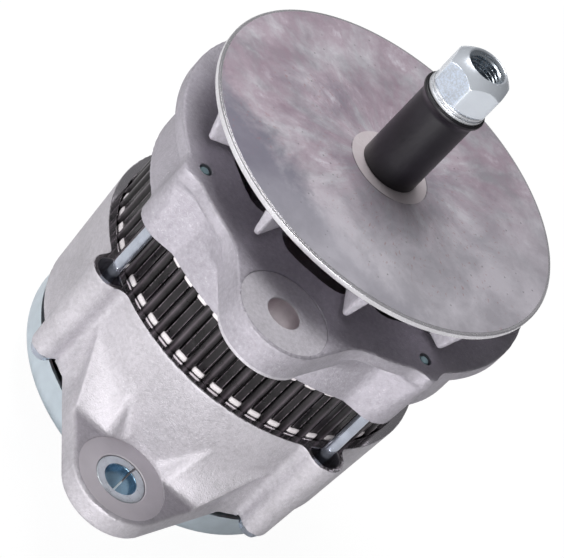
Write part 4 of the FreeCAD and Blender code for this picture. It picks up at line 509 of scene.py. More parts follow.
def joined(parts):
    """Several point sets with their faces as one."""
    points, faces, start = [], [], 0
    for some_points, some_faces in parts:
        points.append(some_points)
        faces.append(np.asarray(some_faces) + start)
        start += len(some_points)
    return np.concatenate(points), np.concatenate(faces)


# ---------------------------------------------------------------- shader maths

class Wire:
    """A socket; arithmetic on it adds Math nodes to its tree."""

    def __init__(self, tree, socket):
        self.tree = tree
        self.socket = socket

    def __add__(self, other):
        return self.tree.math("ADD", self, other)

    def __sub__(self, other):
        return self.tree.math("SUBTRACT", self, other)

    def __mul__(self, other):
        return self.tree.math("MULTIPLY", self, other)

    def __pow__(self, other):
        return self.tree.math("POWER", self, other)

    def __radd__(self, other):
        return self.tree.math("ADD", other, self)

    def __rsub__(self, other):
        return self.tree.math("SUBTRACT", other, self)

    def __rmul__(self, other):
        return self.tree.math("MULTIPLY", other, self)


class Tree:
    """The node tree of a material or of the world."""

    def __init__(self, owner):
        owner.use_nodes = True
        self.nodes = owner.node_tree.nodes
        self.links = owner.node_tree.links

    def put(self, socket, value):
        """Link a wire to a socket, or set a plain value on it."""
        if isinstance(value, Wire):
            self.links.new(value.socket, socket)
        else:
            socket.default_value = value

    def node(self, kind, settings=None, inputs=None, output=0):
        """Any node: its settings first, then the values or wires of its sockets."""
        node = self.nodes.new(kind)
        for key, value in (settings or {}).items():
            setattr(node, key, value)
        for key, value in (inputs or {}).items():
            self.put(node.inputs[key], value)
        return Wire(self, node.outputs[output])

    def math(self, operation, *values):
        """A Math node on one, two or three values or wires."""
        return self.node("ShaderNodeMath", {"operation": operation}, dict(enumerate(values)))


class Finish(Tree):
    """One material: a Principled shader and the nodes that feed it."""

    def __init__(self, name, **constants):
        self.material = bpy.data.materials.new(name)
        super().__init__(self.material)
        self.shader = self.nodes["Principled BSDF"]
        self.feed(**constants)
        self.place = self.node("ShaderNodeTexCoord", output="Object")

    def feed(self, **values):
        """Put each value or wire on the shader's socket of that name."""
        for key, value in values.items():
            self.put(self.shader.inputs[key.replace("_", " ").title()], value)

    def about_shaft(self):
        """Object coordinates x, y, z measured from the fan face on the shaft axis, in metres."""
        centred = self.node("ShaderNodeMapping", {"vector_type": "POINT"}, {
            "Vector": self.place, "Location": (0.0, -HINGE_REACH / 1000.0, HINGE_Z / 1000.0)})
        parts = self.node("ShaderNodeSeparateXYZ", None, {0: centred})
        return [Wire(self, socket) for socket in parts.socket.node.outputs]

    def radius(self, x, y):
        """Distance from the shaft: the square root of x squared plus y squared."""
        return self.math("SQRT", x * x + y * y)

    def noise(self, scale, detail=2.0, roughness=0.5, vector=None, distortion=0.0):
        """Noise of so many cells a metre on the object's coordinates or on another vector."""
        return self.node("ShaderNodeTexNoise", None, {
            "Vector": vector or self.place, "Scale": scale, "Detail": detail, "Roughness": roughness,
            "Distortion": distortion})

    def ramp(self, value, low, high, start=0.0, end=1.0):
        """Straight change from start to end while the value goes from low to high, held outside."""
        return self.node("ShaderNodeMapRange", {"clamp": True}, {
            "Value": value, "From Min": low, "From Max": high, "To Min": start, "To Max": end})

    def mix(self, factor, a, b):
        """Colour that goes from a to b with the factor, through the colour sockets of a Mix node."""
        return self.node("ShaderNodeMix", {"data_type": "RGBA"}, {0: factor, 6: a, 7: b}, 2)

    def layered(self, base, *layers):
        """A base colour under layers of (mask, colour), each mixed over the ones before."""
        for mask, colour in layers:
            base = self.mix(mask, base, colour)
        return base

    def bump(self, height, strength, distance, normal=None):
        """Surface relief from a height, on top of another normal where one is given."""
        inputs = {"Height": height, "Strength": strength, "Distance": distance}
        if normal:
            inputs["Normal"] = normal
        return self.node("ShaderNodeBump", None, inputs)


def grey(value, tint=(1.0, 1.0, 1.0)):
    """A grey of the value, times a tint."""
    return (value * tint[0], value * tint[1], value * tint[2], 1.0)


def shade(colour, share):
    """A colour with its red, green and blue taken down to a share."""
    return tuple([c * share for c in colour[:3]] + [1.0])


def cast_finish(name, colour, metallic=0.55, roughness=0.55, grain=1.0):
    """Sand cast metal: mottled tone, fine grain, a few dull specks and faint bright ones."""
    look = Finish(name, metallic=metallic)
    cloud = look.noise(38.0, 4.0, 0.6)
    wave = look.noise(140.0, 3.0, 0.5)
    fine = look.noise(620.0, 4.0, 0.7)
    sand = look.noise(1800.0, 2.0, 0.6)
    mottled = look.mix(look.ramp(cloud * 0.45 + fine * 0.55, 0.36, 0.6), shade(colour, 0.72), colour)
    base = look.layered(
        mottled,
        (look.ramp(fine, 0.62, 0.74) * 0.5, grey(0.3)),
        (look.ramp(sand * fine, 0.35, 0.44) * 0.4, grey(0.85)))
    look.feed(base_color=base, roughness=roughness + (fine - 0.5) * 0.3)
    grains = look.bump(sand, 0.7 * grain, 0.0003)
    look.feed(normal=look.bump(cloud + wave * 0.35 + fine * 0.3, 0.6 * grain, 0.0006, grains))
    return look.material


def machined_finish(name, colour, metallic, roughness, bump):
    """Faced metal: fine turned rings about the shaft, the sine of the radius, and a light clouding."""
    rings_per_metre = 1400.0
    look = Finish(name, metallic=metallic)
    x, y, _ = look.about_shaft()
    wave = look.math("SINE", look.radius(x, y) * (rings_per_metre * 2 * math.pi))
    cloud = look.noise(60.0, 3.0, 0.55)
    fine = look.noise(1500.0, 2.0, 0.5)
    base = look.mix(look.ramp(cloud, 0.3, 0.75), shade(colour, 0.85), colour)
    look.feed(base_color=base, roughness=roughness + (fine - 0.5) * 0.14 + (cloud - 0.5) * 0.1)
    look.feed(normal=look.bump(wave * 0.5 + fine, bump, 0.00003))
    return look.material


def plain_finish(name, colour, metallic, roughness, mottling=0.15, scale=120.0, bump=0.15):
    """Even finish with slight mottling and a fine surface texture."""
    look = Finish(name, metallic=metallic)
    cloud = look.noise(scale, 3.0, 0.55)
    fine = look.noise(scale * 14.0, 2.0, 0.55)
    base = look.mix(look.ramp(cloud, 0.28, 0.72), shade(colour, 1.0 - mottling), colour)
    look.feed(base_color=base, roughness=roughness + (fine - 0.5) * 0.16 + (cloud - 0.5) * 0.12)
    look.feed(normal=look.bump(fine + cloud * 0.4, bump, 0.0001))
    return look.material


def frosted_finish(name, colour):
    """Zinc with bright crystals a few tenths of a millimetre wide under a pale clouding."""
    bright, pale = (0.58, 0.65, 0.76, 1.0), (0.68, 0.73, 0.81, 1.0)
    look = Finish(name, metallic=0.75)
    cloud = look.noise(160.0, 3.0, 0.6)
    crystal = look.noise(1300.0, 2.0, 0.7)
    base = look.mix(look.ramp(crystal, 0.38, 0.62), shade(colour, 0.66), bright)
    base = look.mix(look.ramp(cloud, 0.45, 0.7) * 0.4, base, pale)
    look.feed(base_color=base, roughness=0.42 + (crystal - 0.5) * 0.2)
    look.feed(normal=look.bump(crystal, 0.2, 0.0001))
    return look.material


def fan_finish(name):
    """Cast fan face: cloudy purple and blue-grey tints, pale flow streaks, scratches and small pits.

    One side is rosy, one is shaded and one is calm; a paler pad lies round the sleeve with a
    dark line about it. The streaks run on the angle and the radius, so they follow the turn.
    """
    lilac, mauve = (1.02, 0.97, 1.08), (1.02, 0.98, 1.07)
    look = Finish(name, metallic=0.3)
    x, y, _ = look.about_shaft()
    radius = look.radius(x, y)
    angle = look.math("ARCTAN2", y, x)
    turn = look.node("ShaderNodeCombineXYZ", None, {0: angle * 0.9, 1: radius * 9.0, 2: 0.0})
    streak = look.noise(5.0, 6.0, 0.66, vector=turn, distortion=0.35)
    scratch = look.noise(46.0, 2.0, 0.5, vector=turn, distortion=0.3)
    cloud = look.noise(42.0, 8.0, 0.66, distortion=0.25)
    patch = look.noise(13.0, 3.0, 0.5)
    fine = look.noise(700.0, 3.0, 0.6)
    cell = look.node("ShaderNodeTexVoronoi", None, {"Vector": look.place, "Scale": 260.0}, "Distance")
    clouded = look.mix(look.ramp(cloud, 0.38, 0.62), grey(0.41, lilac), grey(0.72, (1.03, 0.98, 1.06)))
    rosy = look.ramp(y - x * 0.7 + patch * 0.12, -0.02, 0.06) * look.ramp(streak, 0.36, 0.6)
    pale = look.ramp(streak, 0.56, 0.7) * look.ramp(cloud, 0.4, 0.6)
    blue = look.ramp(patch, 0.52, 0.68) * look.ramp(cloud, 0.62, 0.4)
    shaded = look.ramp(y + x * 0.3 + (cloud - 0.5) * 0.05, -0.046, -0.062)
    calm = look.ramp(x * 0.8 - y * 0.6, 0.0, 0.04)
    calm_tone = look.mix(look.ramp(cloud, 0.4, 0.62), grey(0.54, mauve), grey(0.66, mauve))
    pits = 1.0 - look.ramp(cell, 0.05, 0.14)
    red = look.ramp(scratch, 0.64, 0.68) * look.ramp(patch, 0.5, 0.6)
    pad = look.ramp(radius, 0.0176, 0.0174)
    line = look.ramp(radius, 0.0173, 0.0176) * look.ramp(radius, 0.0181, 0.0178)
    base = look.layered(
        clouded,
        (rosy * 0.7, (0.44, 0.30, 0.38, 1.0)),
        (pale * 0.8, grey(0.9, (1.0, 0.97, 1.05))),
        (blue * 0.6, (0.24, 0.25, 0.31, 1.0)),
        (shaded * 0.85, (0.24, 0.235, 0.30, 1.0)),
        (calm * 0.7, calm_tone),
        (pits * look.ramp(cloud, 0.48, 0.56) * 0.6, grey(0.1)),
        (red * 0.5, (0.42, 0.2, 0.2, 1.0)),
        (pad * 0.8, (0.82, 0.74, 0.76, 1.0)),
        (line * look.ramp(cloud, 0.42, 0.55, 0.7, 0.0), grey(0.07)))
    look.feed(base_color=base, roughness=0.45 + (fine - 0.5) * 0.25 + (cloud - 0.5) * 0.2)
    relief = cloud * 0.6 + fine * 0.15 - pits * 0.2 - line * 0.15
    look.feed(normal=look.bump(relief, 0.3, 0.0004))
    return look.material


def stack_finish(name):
    """Black varnished laminations: fine lines round the stack and a glossy, uneven coat.

    Across is how far a point lies from the middle of its bar, in pitches. A painted highlight lies along
    the bars' crowns, a broken thin painted highlight runs along each lane's edges and painted shade
    makes the grooves darkest.
    """
    tint = (1.15, 0.95, 1.1)
    sheet = 0.0009
    look = Finish(name, metallic=0.0)
    look.shader.inputs["Specular IOR Level"].default_value = 0.42
    x, y, z = look.about_shaft()
    sheets = look.math("SINE", z * (2 * math.pi / sheet))
    turn = look.math("ARCTAN2", y, x) * (BARS / (2 * math.pi)) + (BARS + 0.5 - BAR_TURN)
    across = look.math("ABSOLUTE", look.math("FRACT", turn) - 0.5)
    cloud = look.noise(90.0, 3.0, 0.6)
    fine = look.noise(1100.0, 2.0, 0.6)
    varnish = look.mix(look.ramp(cloud, 0.35, 0.7), grey(0.004, tint), grey(0.016, tint))
    # painted shade: the grooves beside each bar made near black
    groove = look.ramp(across, 0.19, 0.24) * look.ramp(across, 0.30, 0.26)
    # painted highlight: a pale line along the middle of each bar's crown
    crown_highlight = look.ramp(across, 0.16, 0.0) ** 2 * look.ramp(cloud, 0.3, 0.6, 0.5, 1.0)
    # painted highlight: a broken thin light line along each lane's edges
    edge = look.ramp(look.math("ABSOLUTE", across - 0.33), 0.018, 0.008) * look.ramp(fine, 0.42, 0.52)
    base = look.layered(
        varnish,
        (groove, grey(0.001)),
        (crown_highlight, grey(0.085, tint)),
        (edge * 0.8, grey(0.17, tint)),
        (look.ramp(fine, 0.7, 0.76) * 0.5, grey(0.1)))
    look.feed(base_color=base, roughness=0.3 + (cloud - 0.5) * 0.25)
    look.feed(normal=look.bump(sheets * 0.2 + cloud * 1.5, 0.3, 0.0001))
    return look.material


def wire_finish(name, colour):
    """Enamelled winding: strands that run round the shaft under varnish."""
    strand = 0.0013
    look = Finish(name, metallic=0.25, coat_weight=0.5)
    x, y, z = look.about_shaft()
    strands = look.math("SINE", (z + look.radius(x, y) * 0.6) * (2 * math.pi / strand))
    cloud = look.noise(70.0, 3.0, 0.6)
    base = look.mix(look.ramp(cloud + strands * 0.15, 0.3, 0.75), shade(colour, 0.4), colour)
    look.feed(base_color=base, roughness=0.35 + (cloud - 0.5) * 0.25)
    look.feed(normal=look.bump(strands * 0.5 + cloud, 0.5, 0.0003))
    return look.material


def white_to_camera(owner, output, plain, white, share):
    """Fill the tree of the floor or the sky, whose plain shader lights the part.

    Camera rays meet the white shader by the share, and all other rays meet the plain one.
    """
    tree = Tree(owner)
    tree.nodes.clear()
    seen = tree.node("ShaderNodeLightPath", output="Is Camera Ray") * share
    surface = tree.node("ShaderNodeMixShader", None, {0: seen, 1: tree.node(*plain), 2: tree.node(*white)})
    tree.put(tree.nodes.new(output).inputs["Surface"], surface)


# ---------------------------------------------------------------- settings

class CastingSettings(bpy.types.PropertyGroup):
    pitch: bpy.props.FloatProperty(
        name="Casting mesh pitch", description="Cell size of the cast surfaces",
        default=0.0009, min=0.0005, unit="LENGTH")
    share: bpy.props.FloatProperty(
        name="Faces kept", description="Share of the cast surfaces' faces that is kept",
        default=0.42, min=0.1, max=1.0, subtype="FACTOR")
    colour: bpy.props.FloatVectorProperty(
        name="Casting colour", description="Colour of the sand cast drive-end housing",
        default=(0.465, 0.44, 0.49, 1.0), size=4, subtype="COLOR")
    rear_colour: bpy.props.FloatVectorProperty(
        name="Rear casting colour", description="Colour of the sand cast rear housing",
        default=(0.585, 0.56, 0.60, 1.0), size=4, subtype="COLOR")
    machined_colour: bpy.props.FloatVectorProperty(
        name="Machined colour", description="Colour of the turned rims of both housings",
        default=(0.86, 0.83, 0.87, 1.0), size=4, subtype="COLOR")


class RotorSettings(bpy.types.PropertyGroup):
    sleeve_colour: bpy.props.FloatVectorProperty(
        name="Sleeve colour", description="Colour of the black sleeve",
        default=(0.008, 0.006, 0.010, 1.0), size=4, subtype="COLOR")
    zinc_colour: bpy.props.FloatVectorProperty(
        name="Plating colour", description="Colour of the plated screws, bolts and nut flat",
        default=(0.68, 0.73, 0.80, 1.0), size=4, subtype="COLOR")
    thread_pitch: bpy.props.FloatProperty(
        name="Nut thread", description="Pitch of the shaft nut's thread",
        default=0.0016, unit="LENGTH")


class StatorSettings(bpy.types.PropertyGroup):
    tab_length: bpy.props.FloatProperty(
        name="Tab length", description="Light tabs at the ends of the lanes, along the shaft",
        default=0.0042, unit="LENGTH")
    tab_width: bpy.props.FloatProperty(
        name="Tab width", description="Light tabs at the ends of the lanes, round the stack",
        default=0.0052, unit="LENGTH")
    winding_colour: bpy.props.FloatVectorProperty(
        name="Winding colour", description="Colour of the enamelled winding",
        default=(0.33, 0.035, 0.02, 1.0), size=4, subtype="COLOR")


class StageSettings(bpy.types.PropertyGroup):
    floor_level: bpy.props.FloatProperty(
        name="Floor level", description="Height of the floor", default=-0.150, unit="LENGTH")
    floor_colour: bpy.props.FloatVectorProperty(
        name="Floor colour", description="Colour of the floor",
        default=(0.86, 0.86, 0.86, 1.0), size=4, subtype="COLOR")


GROUPS = {
    "alternator_casting": CastingSettings,
    "alternator_rotor": RotorSettings,
    "alternator_stator": StatorSettings,
    "alternator_stage": StageSettings,
}


# ---------------------------------------------------------------- operators

class ALTERNATOR_OT_housings(bpy.types.Operator):
    """Both cast housings with their machined faces"""
    bl_idname = "alternator.housings"
    bl_label = "Cast housings"

    def execute(self, context):
        settings = context.scene.alternator_casting
        pitch = settings.pitch * 1000.0
        cast = cast_finish("cast_aluminium", tuple(settings.colour))
        pale = cast_finish("pale_cast_aluminium", tuple(settings.rear_colour))
        rim = machined_finish("faced_rim", tuple(settings.machined_colour), 0.95, 0.1, 0.03)
        front = thinned("drive_end_casting", drive_housing_field,
                        (-FLANGE_R, -109.6, DRIVE_EDGE_Z), (FLANGE_R, 104, FLANGE_Z),
                        pitch, settings.share, "housing", "cast_aluminium", ["drive_end_housing"])
        spot, normal = face_data(front)
        lower = (np.abs(spot[:, 2] - DRIVE_EDGE_Z) < 0.1) & (normal[:, 2] < -0.9)
        paint_faces(front, [cast, rim], lower.astype(int))
        rear = thinned("slip_ring_end_casting", rear_housing_field,
                       (-REAR_WALL_R, -112.7, REAR_LUG_END_Z), (REAR_WALL_R, 79, RIM_Z),
                       pitch, settings.share, "housing", "cast_aluminium", ["slip_ring_end_housing"])
        spot, normal = face_data(rear)
        upper = (np.abs(spot[:, 2] - RIM_Z) < 0.12) & (normal[:, 2] > 0.8)
        paint_faces(rear, [pale, rim], upper.astype(int))
        face_rings(cast, rim)
        return {"FINISHED"}


def face_rings(cast, rim):
    """Rings that give the faced lugs, the rear rim and the bolt mouths their turned edges."""
    rings = [
        collar(19.15, 6.9, HINGE_Z, FLANGE_Z - 14.8, 0.35, 0.0, -HINGE_REACH),
        collar(19.45, BUSHING_SEAT_R, REAR_SPOTFACE_Z, REAR_LUG_END_Z + 0.1, 0.3, 0.0, -HINGE_REACH),
        collar(73.3, STACK_SEAT_R, RIM_Z + 0.04, RIM_Z - 1.5, 0.25, 0.0, 0.0, 256),
    ]
    rings += [collar(4.1, 2.75, FLANGE_Z + 0.03, FLANGE_Z - 4.5, 0.12, x, y, 48) for x, y in BOLT_SPOTS]
    faced = closed_piece("faced_rings", joined(rings), "housing", "cast_aluminium", 30.0)
    spot, normal = face_data(faced)
    level, hinge = spot[:, 2], hinge_distance(spot[:, 0], spot[:, 1])
    on_rear_lug, upright = level < REAR_LUG_Z, np.abs(normal[:, 2]) < 0.5
    use_facing, use_rim, use_bore, use_cast, use_pale = range(5)
    choice = np.full(len(spot), use_facing)
    choice[((hinge < 7.1) | ((hinge < 11.1) & on_rear_lug)) & upright] = use_bore
    choice[(hinge > 11.0) & (hinge < 25) & on_rear_lug] = use_pale
    choice[(level < RIM_Z + 0.1) & (level > RIM_Z - 2.0)] = use_rim
    choice[(hinge > 25) & (level > HINGE_Z - 6)] = use_cast
    facing = cast_finish("faced_lug", (0.62, 0.595, 0.64, 1.0), 0.5, 0.5, 0.6)
    bore = plain_finish("reamed_bore", (0.68, 0.61, 0.64, 1.0), 0.7, 0.35, 0.3, 150.0, 0.2)
    pale_facing = plain_finish("faced_rear_lug", (0.80, 0.76, 0.80, 1.0), 0.2, 0.5, 0.1, 90.0, 0.25)
    paint_faces(faced, [facing, rim, bore, cast, pale_facing], choice)


def collar(outer, inner, top, bottom, bevel, x, y, steps=128):
    """A plain ring about a vertical axis with bevelled upper edges."""
    section = [(inner, top - bevel), (inner + bevel, top), (outer - bevel, top), (outer, top - bevel),
               (outer, bottom), (inner, bottom)]
    return lathe(section[::-1], steps, x, y)


class ALTERNATOR_OT_fan(bpy.types.Operator):
    """Cast fan with its short blades"""
    bl_idname = "alternator.fan"
    bl_label = "Fan"

    def execute(self, context):
        pitch = context.scene.alternator_casting.pitch * 1000.0
        piece = thinned("fan_back", fan_field, (-FAN_PLATE_R, -FAN_PLATE_R, FAN_HUB_END_Z),
                        (FAN_PLATE_R, FAN_PLATE_R, FAN_PLATE_Z), pitch, 0.5,
                        "rotor", "fan_casting", ["fan"])
        piece.data.materials.append(cast_finish("fan_back_casting", (0.60, 0.57, 0.63, 1.0), 0.3))
        edge = rounded(
            [(11.15, 0.0), (FAN_PLATE_R, 0.0), (76.75, -0.12), (77.5, 0.0), (78.0, -0.5), (78.0, -2.4),
             (77.5, FAN_BACK_Z), (76.3, FAN_BACK_Z), (76.1, -2.3), (11.15, -2.3)],
            [0, 0.1, 0.05, 0.15, 0.2, 0.2, 0.2, 0.1, 0.1, 0])
        disc = closed_piece("fan_disc", lathe(edge[::-1], 256), "rotor", "fan_casting", 25.0)
        spot, _ = face_data(disc)
        turned = (np.hypot(spot[:, 0], spot[:, 1]) > FAN_PLATE_R).astype(int)
        turned_edge = machined_finish("turned_fan_edge", (0.95, 0.93, 0.97, 1.0), 0.8, 0.25, 0.04)
        paint_faces(disc, [fan_finish("fan_face"), turned_edge], turned)
        return {"FINISHED"}


class ALTERNATOR_OT_shaft_end(bpy.types.Operator):
    """Sleeve, washer and nut on the end of the shaft"""
    bl_idname = "alternator.shaft_end"
    bl_label = "Sleeve, washer and nut"

    def execute(self, context):
        settings = context.scene.alternator_rotor
        sleeve_top, washer_top, nut_top, nut_turn = 41.2, 44.4, 60.6, 30.0
        satin = plain_finish("black_satin", tuple(settings.sleeve_colour), 0.0, 0.38, 0.5, 60.0, 0.15)
        sleeve = rounded([(11.2, 0.0), (12.15, 0.0), (12.15, 37.3), (13.8, 39.9), (13.8, sleeve_top),
                          (11.2, sleeve_top)], [0, 0.3, 4.0, 1.0, 0.5, 0.2], 8)
        closed_piece("black_sleeve", lathe(sleeve[::-1], 96), "rotor", "black_steel", 30.0,
                     ["shaft_sleeve"], satin)
        bright = plain_finish("bright_zinc", (0.78, 0.80, 0.83, 1.0), 0.8, 0.3, 0.04, 40.0, 0.0)
        washer = rounded([(8.2, sleeve_top), (12.7, sleeve_top), (12.7, 42.8), (12.1, 42.9), (12.1, 43.2),
                          (12.4, 43.3), (12.4, washer_top), (8.2, washer_top)],
                         [0, 0.5, 0.5, 0.05, 0.05, 0.3, 0.4, 0], 6)
        closed_piece("plated_washers", lathe(washer[::-1], 96), "rotor", "zinc_steel", 30.0,
                     ["nut_washer"], bright)
        shape = hexagon_nut(23.8, washer_top, nut_top, 7.2, nut_turn, settings.thread_pitch * 1000.0)
        nut = closed_piece("plated_nut", shape, "rotor", "zinc_steel", 32.0, ["pulley_nut"])
        spot, normal = face_data(nut)
        rho = np.hypot(spot[:, 0], spot[:, 1])
        # painted light: both zinc finishes stand for the same plating; the darker frosted one goes only on
        # the left front flat and the paler one on the other flats, so the flats differ as light falls on
        # them
        left_front_flat = (normal @ np.array([-0.5, -0.866, 0.0]) > 0.98) & (rho > 10.0)
        threaded = rho < 7.9
        paint_faces(nut, [
            plain_finish("nut_zinc", (0.84, 0.89, 0.96, 1.0), 0.55, 0.22, 0.08, 70.0, 0.03),
            frosted_finish("frosted_zinc", tuple(settings.zinc_colour)),
            plain_finish("thread_zinc", (0.62, 0.68, 0.74, 1.0), 0.9, 0.25, 0.2, 90.0, 0.03),
        ], left_front_flat + threaded * 2)
        return {"FINISHED"}


def hexagon_radius(angle, flats):
    """Radius of a hexagon at an angle from a corner: half its flats over the cosine from the flat."""
    return flats / 2 / np.cos(angle % (math.pi / 3) - math.pi / 6)


def triangle_wave(turns):
    """Wave that is 1 at whole turns and 0 half-way between them."""
    return np.abs(turns % 1.0 - 0.5) * 2.0


def hexagon_nut(flats, low, high, bore, turn, pitch):
    """Tall nut with a rounded crown and an inside thread, as rings of one closed grid.

    Outside, the radius is the least of three: the hexagon with its corners softly cut, the
    crown, which falls with the 1.7th power of the height, and a chamfer at the foot. Inside
    it is the bore plus a clipped triangle wave that climbs one pitch a turn.
    """
    softness, crown_height, crown_radius, chamfer = 3.0, 6.4, 8.8, 0.05
    angle = full_turn(288)
    corner = flats / 2 / math.cos(math.pi / 6)
    hexagon = hexagon_radius(angle - math.radians(turn), flats)
    hexagon = -np.log(np.exp(-hexagon * softness) + math.exp(-(corner - 0.15) * softness)) / softness
    height = high - low
    up = np.concatenate([np.linspace(0.0, 1.6, 7), np.linspace(2.4, height - 7.0, 8),
                         np.linspace(height - crown_height, height, 26)])
    fall = (np.clip(up - height + crown_height, 0, None) / crown_height) ** 1.7
    crown = crown_radius + (corner - 8.7) * (1 - fall)
    foot = flats / 2 * 0.985 + up * 1.25
    outer = np.minimum(hexagon[None], np.minimum(crown, foot)[:, None])
    mouth, top = bore + 1.2, high - chamfer
    down = np.arange(0.0, height - 0.2, pitch / 8)
    wave = triangle_wave((down[:, None] + angle[None] / (2 * math.pi) * pitch) / pitch)
    inner = bore - 0.75 + np.clip(wave * 1.2, 0.1, 1.0) * 1.05
    inner = np.maximum(inner, mouth - down[:, None])
    rows = [around(radius, angle, low + rise) for radius, rise in zip(outer, up)]
    rows += [around(outer[-1] - 0.25, angle, high), around(mouth, angle, top)]
    rows += [around(radius, angle, top - depth) for radius, depth in zip(inner, down)]
    rows.append(around(bore + 0.3, angle, low))
    return np.concatenate(rows), grid_faces(len(rows), len(angle), True, True)


class ALTERNATOR_OT_stator(bpy.types.Operator):
    """Laminated stack with its tabs"""
    bl_idname = "alternator.stator"
    bl_label = "Stator"

    def execute(self, context):
        settings = context.scene.alternator_stator
        closed_piece("ridged_stack", ridged_stack(), "housing", "core_paint", 35.0, ["stator_core"],
                     stack_finish("black_varnish"))
        closed_piece("stack_tabs", stack_tabs(settings.tab_width * 1000, settings.tab_length * 1000),
                     "housing", "zinc_steel", 50.0,
                     finish=plain_finish("tab_metal", (0.80, 0.75, 0.77, 1.0), 0.0, 0.45, 0.15, 300.0, 0.1))
        return {"FINISHED"}


def ridged_stack():
    """Outer and inner contour of the stack carried along the shaft.

    Over one pitch of 7.5 degrees the outside is a round bar, a narrow groove on each side of it
    and a flat lane between; the inside steps between the tooth tips and the slot bottoms.
    Each contour is a list of (place in the pitch, radius).
    """
    slot_bottom, tooth_tip = 61.0, 50.0
    arc = np.linspace(-1.0, 1.0, 13)
    bar = np.column_stack([arc * 0.25, 67.35 + 2.27 * np.sqrt(1 - (arc * 0.985) ** 2)])
    lane = np.array([(0.26, 67.1), (0.29, 67.1), (0.30, 68.1), (0.315, 68.3), (0.34, 68.2), (0.5, 68.15),
                     (0.66, 68.2), (0.685, 68.3), (0.70, 68.1), (0.71, 67.1), (0.74, 67.1)])
    outside = np.concatenate([bar, lane])
    # Known fault: two points a pitch fewer than outside, so the inner wall is open in places
    inside = np.concatenate([
        np.column_stack([np.linspace(first, last, count), np.full(count, radius)])
        for first, last, count, radius in (
            (-0.5, -0.2, 4, slot_bottom), (-0.199, 0.2, 13, tooth_tip), (0.201, 0.45, 5, slot_bottom))])

    def contour_ring(pattern, turn):
        """The pattern of one pitch repeated round the shaft, as plan points."""
        angle = (np.arange(BARS)[:, None] + turn + pattern[None, :, 0]) * (2 * math.pi / BARS)
        radius = np.broadcast_to(pattern[None, :, 1], angle.shape)
        return np.stack([radius * np.cos(angle), radius * np.sin(angle)], axis=2).reshape(-1, 2)

    outer, inner = contour_ring(outside, BAR_TURN), contour_ring(inside, 0.5)
    end, bevel = outer * 0.9975, 0.4
    rings = [(end, STACK_TOP_Z), (outer, STACK_TOP_Z - bevel), (outer, STACK_END_Z + bevel),
             (end, STACK_END_Z), (inner, STACK_END_Z), (inner, STACK_TOP_Z)]
    points = np.concatenate([np.column_stack([ring, np.full(len(ring), level)]) for ring, level in rings])
    return points, grid_faces(len(rings), len(outer), True, True)


def stack_tabs(width, length):
    """A small domed tab at each end of each flat lane.

    Point (u, v) lies at u across and v along; its height over the lane is 0.7 (1 - u^6)(1 - v^6).
    """
    side, lane_radius, dome, thickness = 9, 68.1, 0.7, 0.5
    steps = np.sin(np.linspace(-math.pi / 2, math.pi / 2, side))
    u, v = np.meshgrid(steps, steps, indexing="ij")
    corner = 1.0 - 0.12 * (u ** 4) * (v ** 4)
    radius = lane_radius + dome * (1 - u ** 6) * (1 - v ** 6)
    across, along = u * corner * width / 2, v * corner * length / 2
    number = np.arange(side * side).reshape(side, side)
    rim = np.concatenate([number[:, 0], number[-1, 1:], number[-2::-1, -1], number[0, -2:0:-1]])
    after = np.roll(rim, -1)
    sides = np.stack([rim, after, after + number.size, rim + number.size], axis=1)
    under_faces = grid_faces(side, side, start=number.size)[:, ::-1]
    faces = np.concatenate([grid_faces(side, side), under_faces, sides])
    parts = []
    for middle in (DRIVE_EDGE_Z - length / 2 - 1.6, RIM_Z + 2.3 - length / 2):
        for lane in range(BARS):
            angle = (lane + 0.5 + BAR_TURN) * 2 * math.pi / BARS
            x = radius * math.cos(angle) - across * math.sin(angle)
            y = radius * math.sin(angle) + across * math.cos(angle)
            top = np.stack([x, y, middle + along], axis=2).reshape(-1, 3)
            under = top - thickness * np.array([math.cos(angle), math.sin(angle), 0.0])
            parts.append((np.concatenate([top, under]), faces))
    return joined(parts)


class ALTERNATOR_OT_bolts(bpy.types.Operator):
    """Through-bolts with hexagon heads and threaded ends"""
    bl_idname = "alternator.bolts"
    bl_label = "Through-bolts"

    def execute(self, context):
        zinc = tuple(context.scene.alternator_rotor.zinc_colour)
        bolts = [bolt(x, y, end=FLANGE_Z - 0.5, seat=REAR_BOSS_END_Z, shank=2.4, flats=9.0, head_height=4.0,
                      flange=5.9, thread_length=14.0) for x, y in BOLT_SPOTS]
        piece = closed_piece("plated_through_bolts", joined(bolts), "housing", "zinc_steel", 30.0,
                             ["through_bolts"])
        spot, _ = face_data(piece)
        paint_faces(piece, [
            plain_finish("bolt_zinc", (zinc[0], zinc[1], zinc[2] * 1.05, 1.0), 0.9, 0.16, 0.3, 160.0, 0.1),
            plain_finish("bolt_end_zinc", (0.30, 0.46, 0.47, 1.0), 0.7, 0.3, 0.2, 300.0, 0.1),
        ], (spot[:, 2] > FLANGE_Z - 3.0).astype(int))
        return {"FINISHED"}


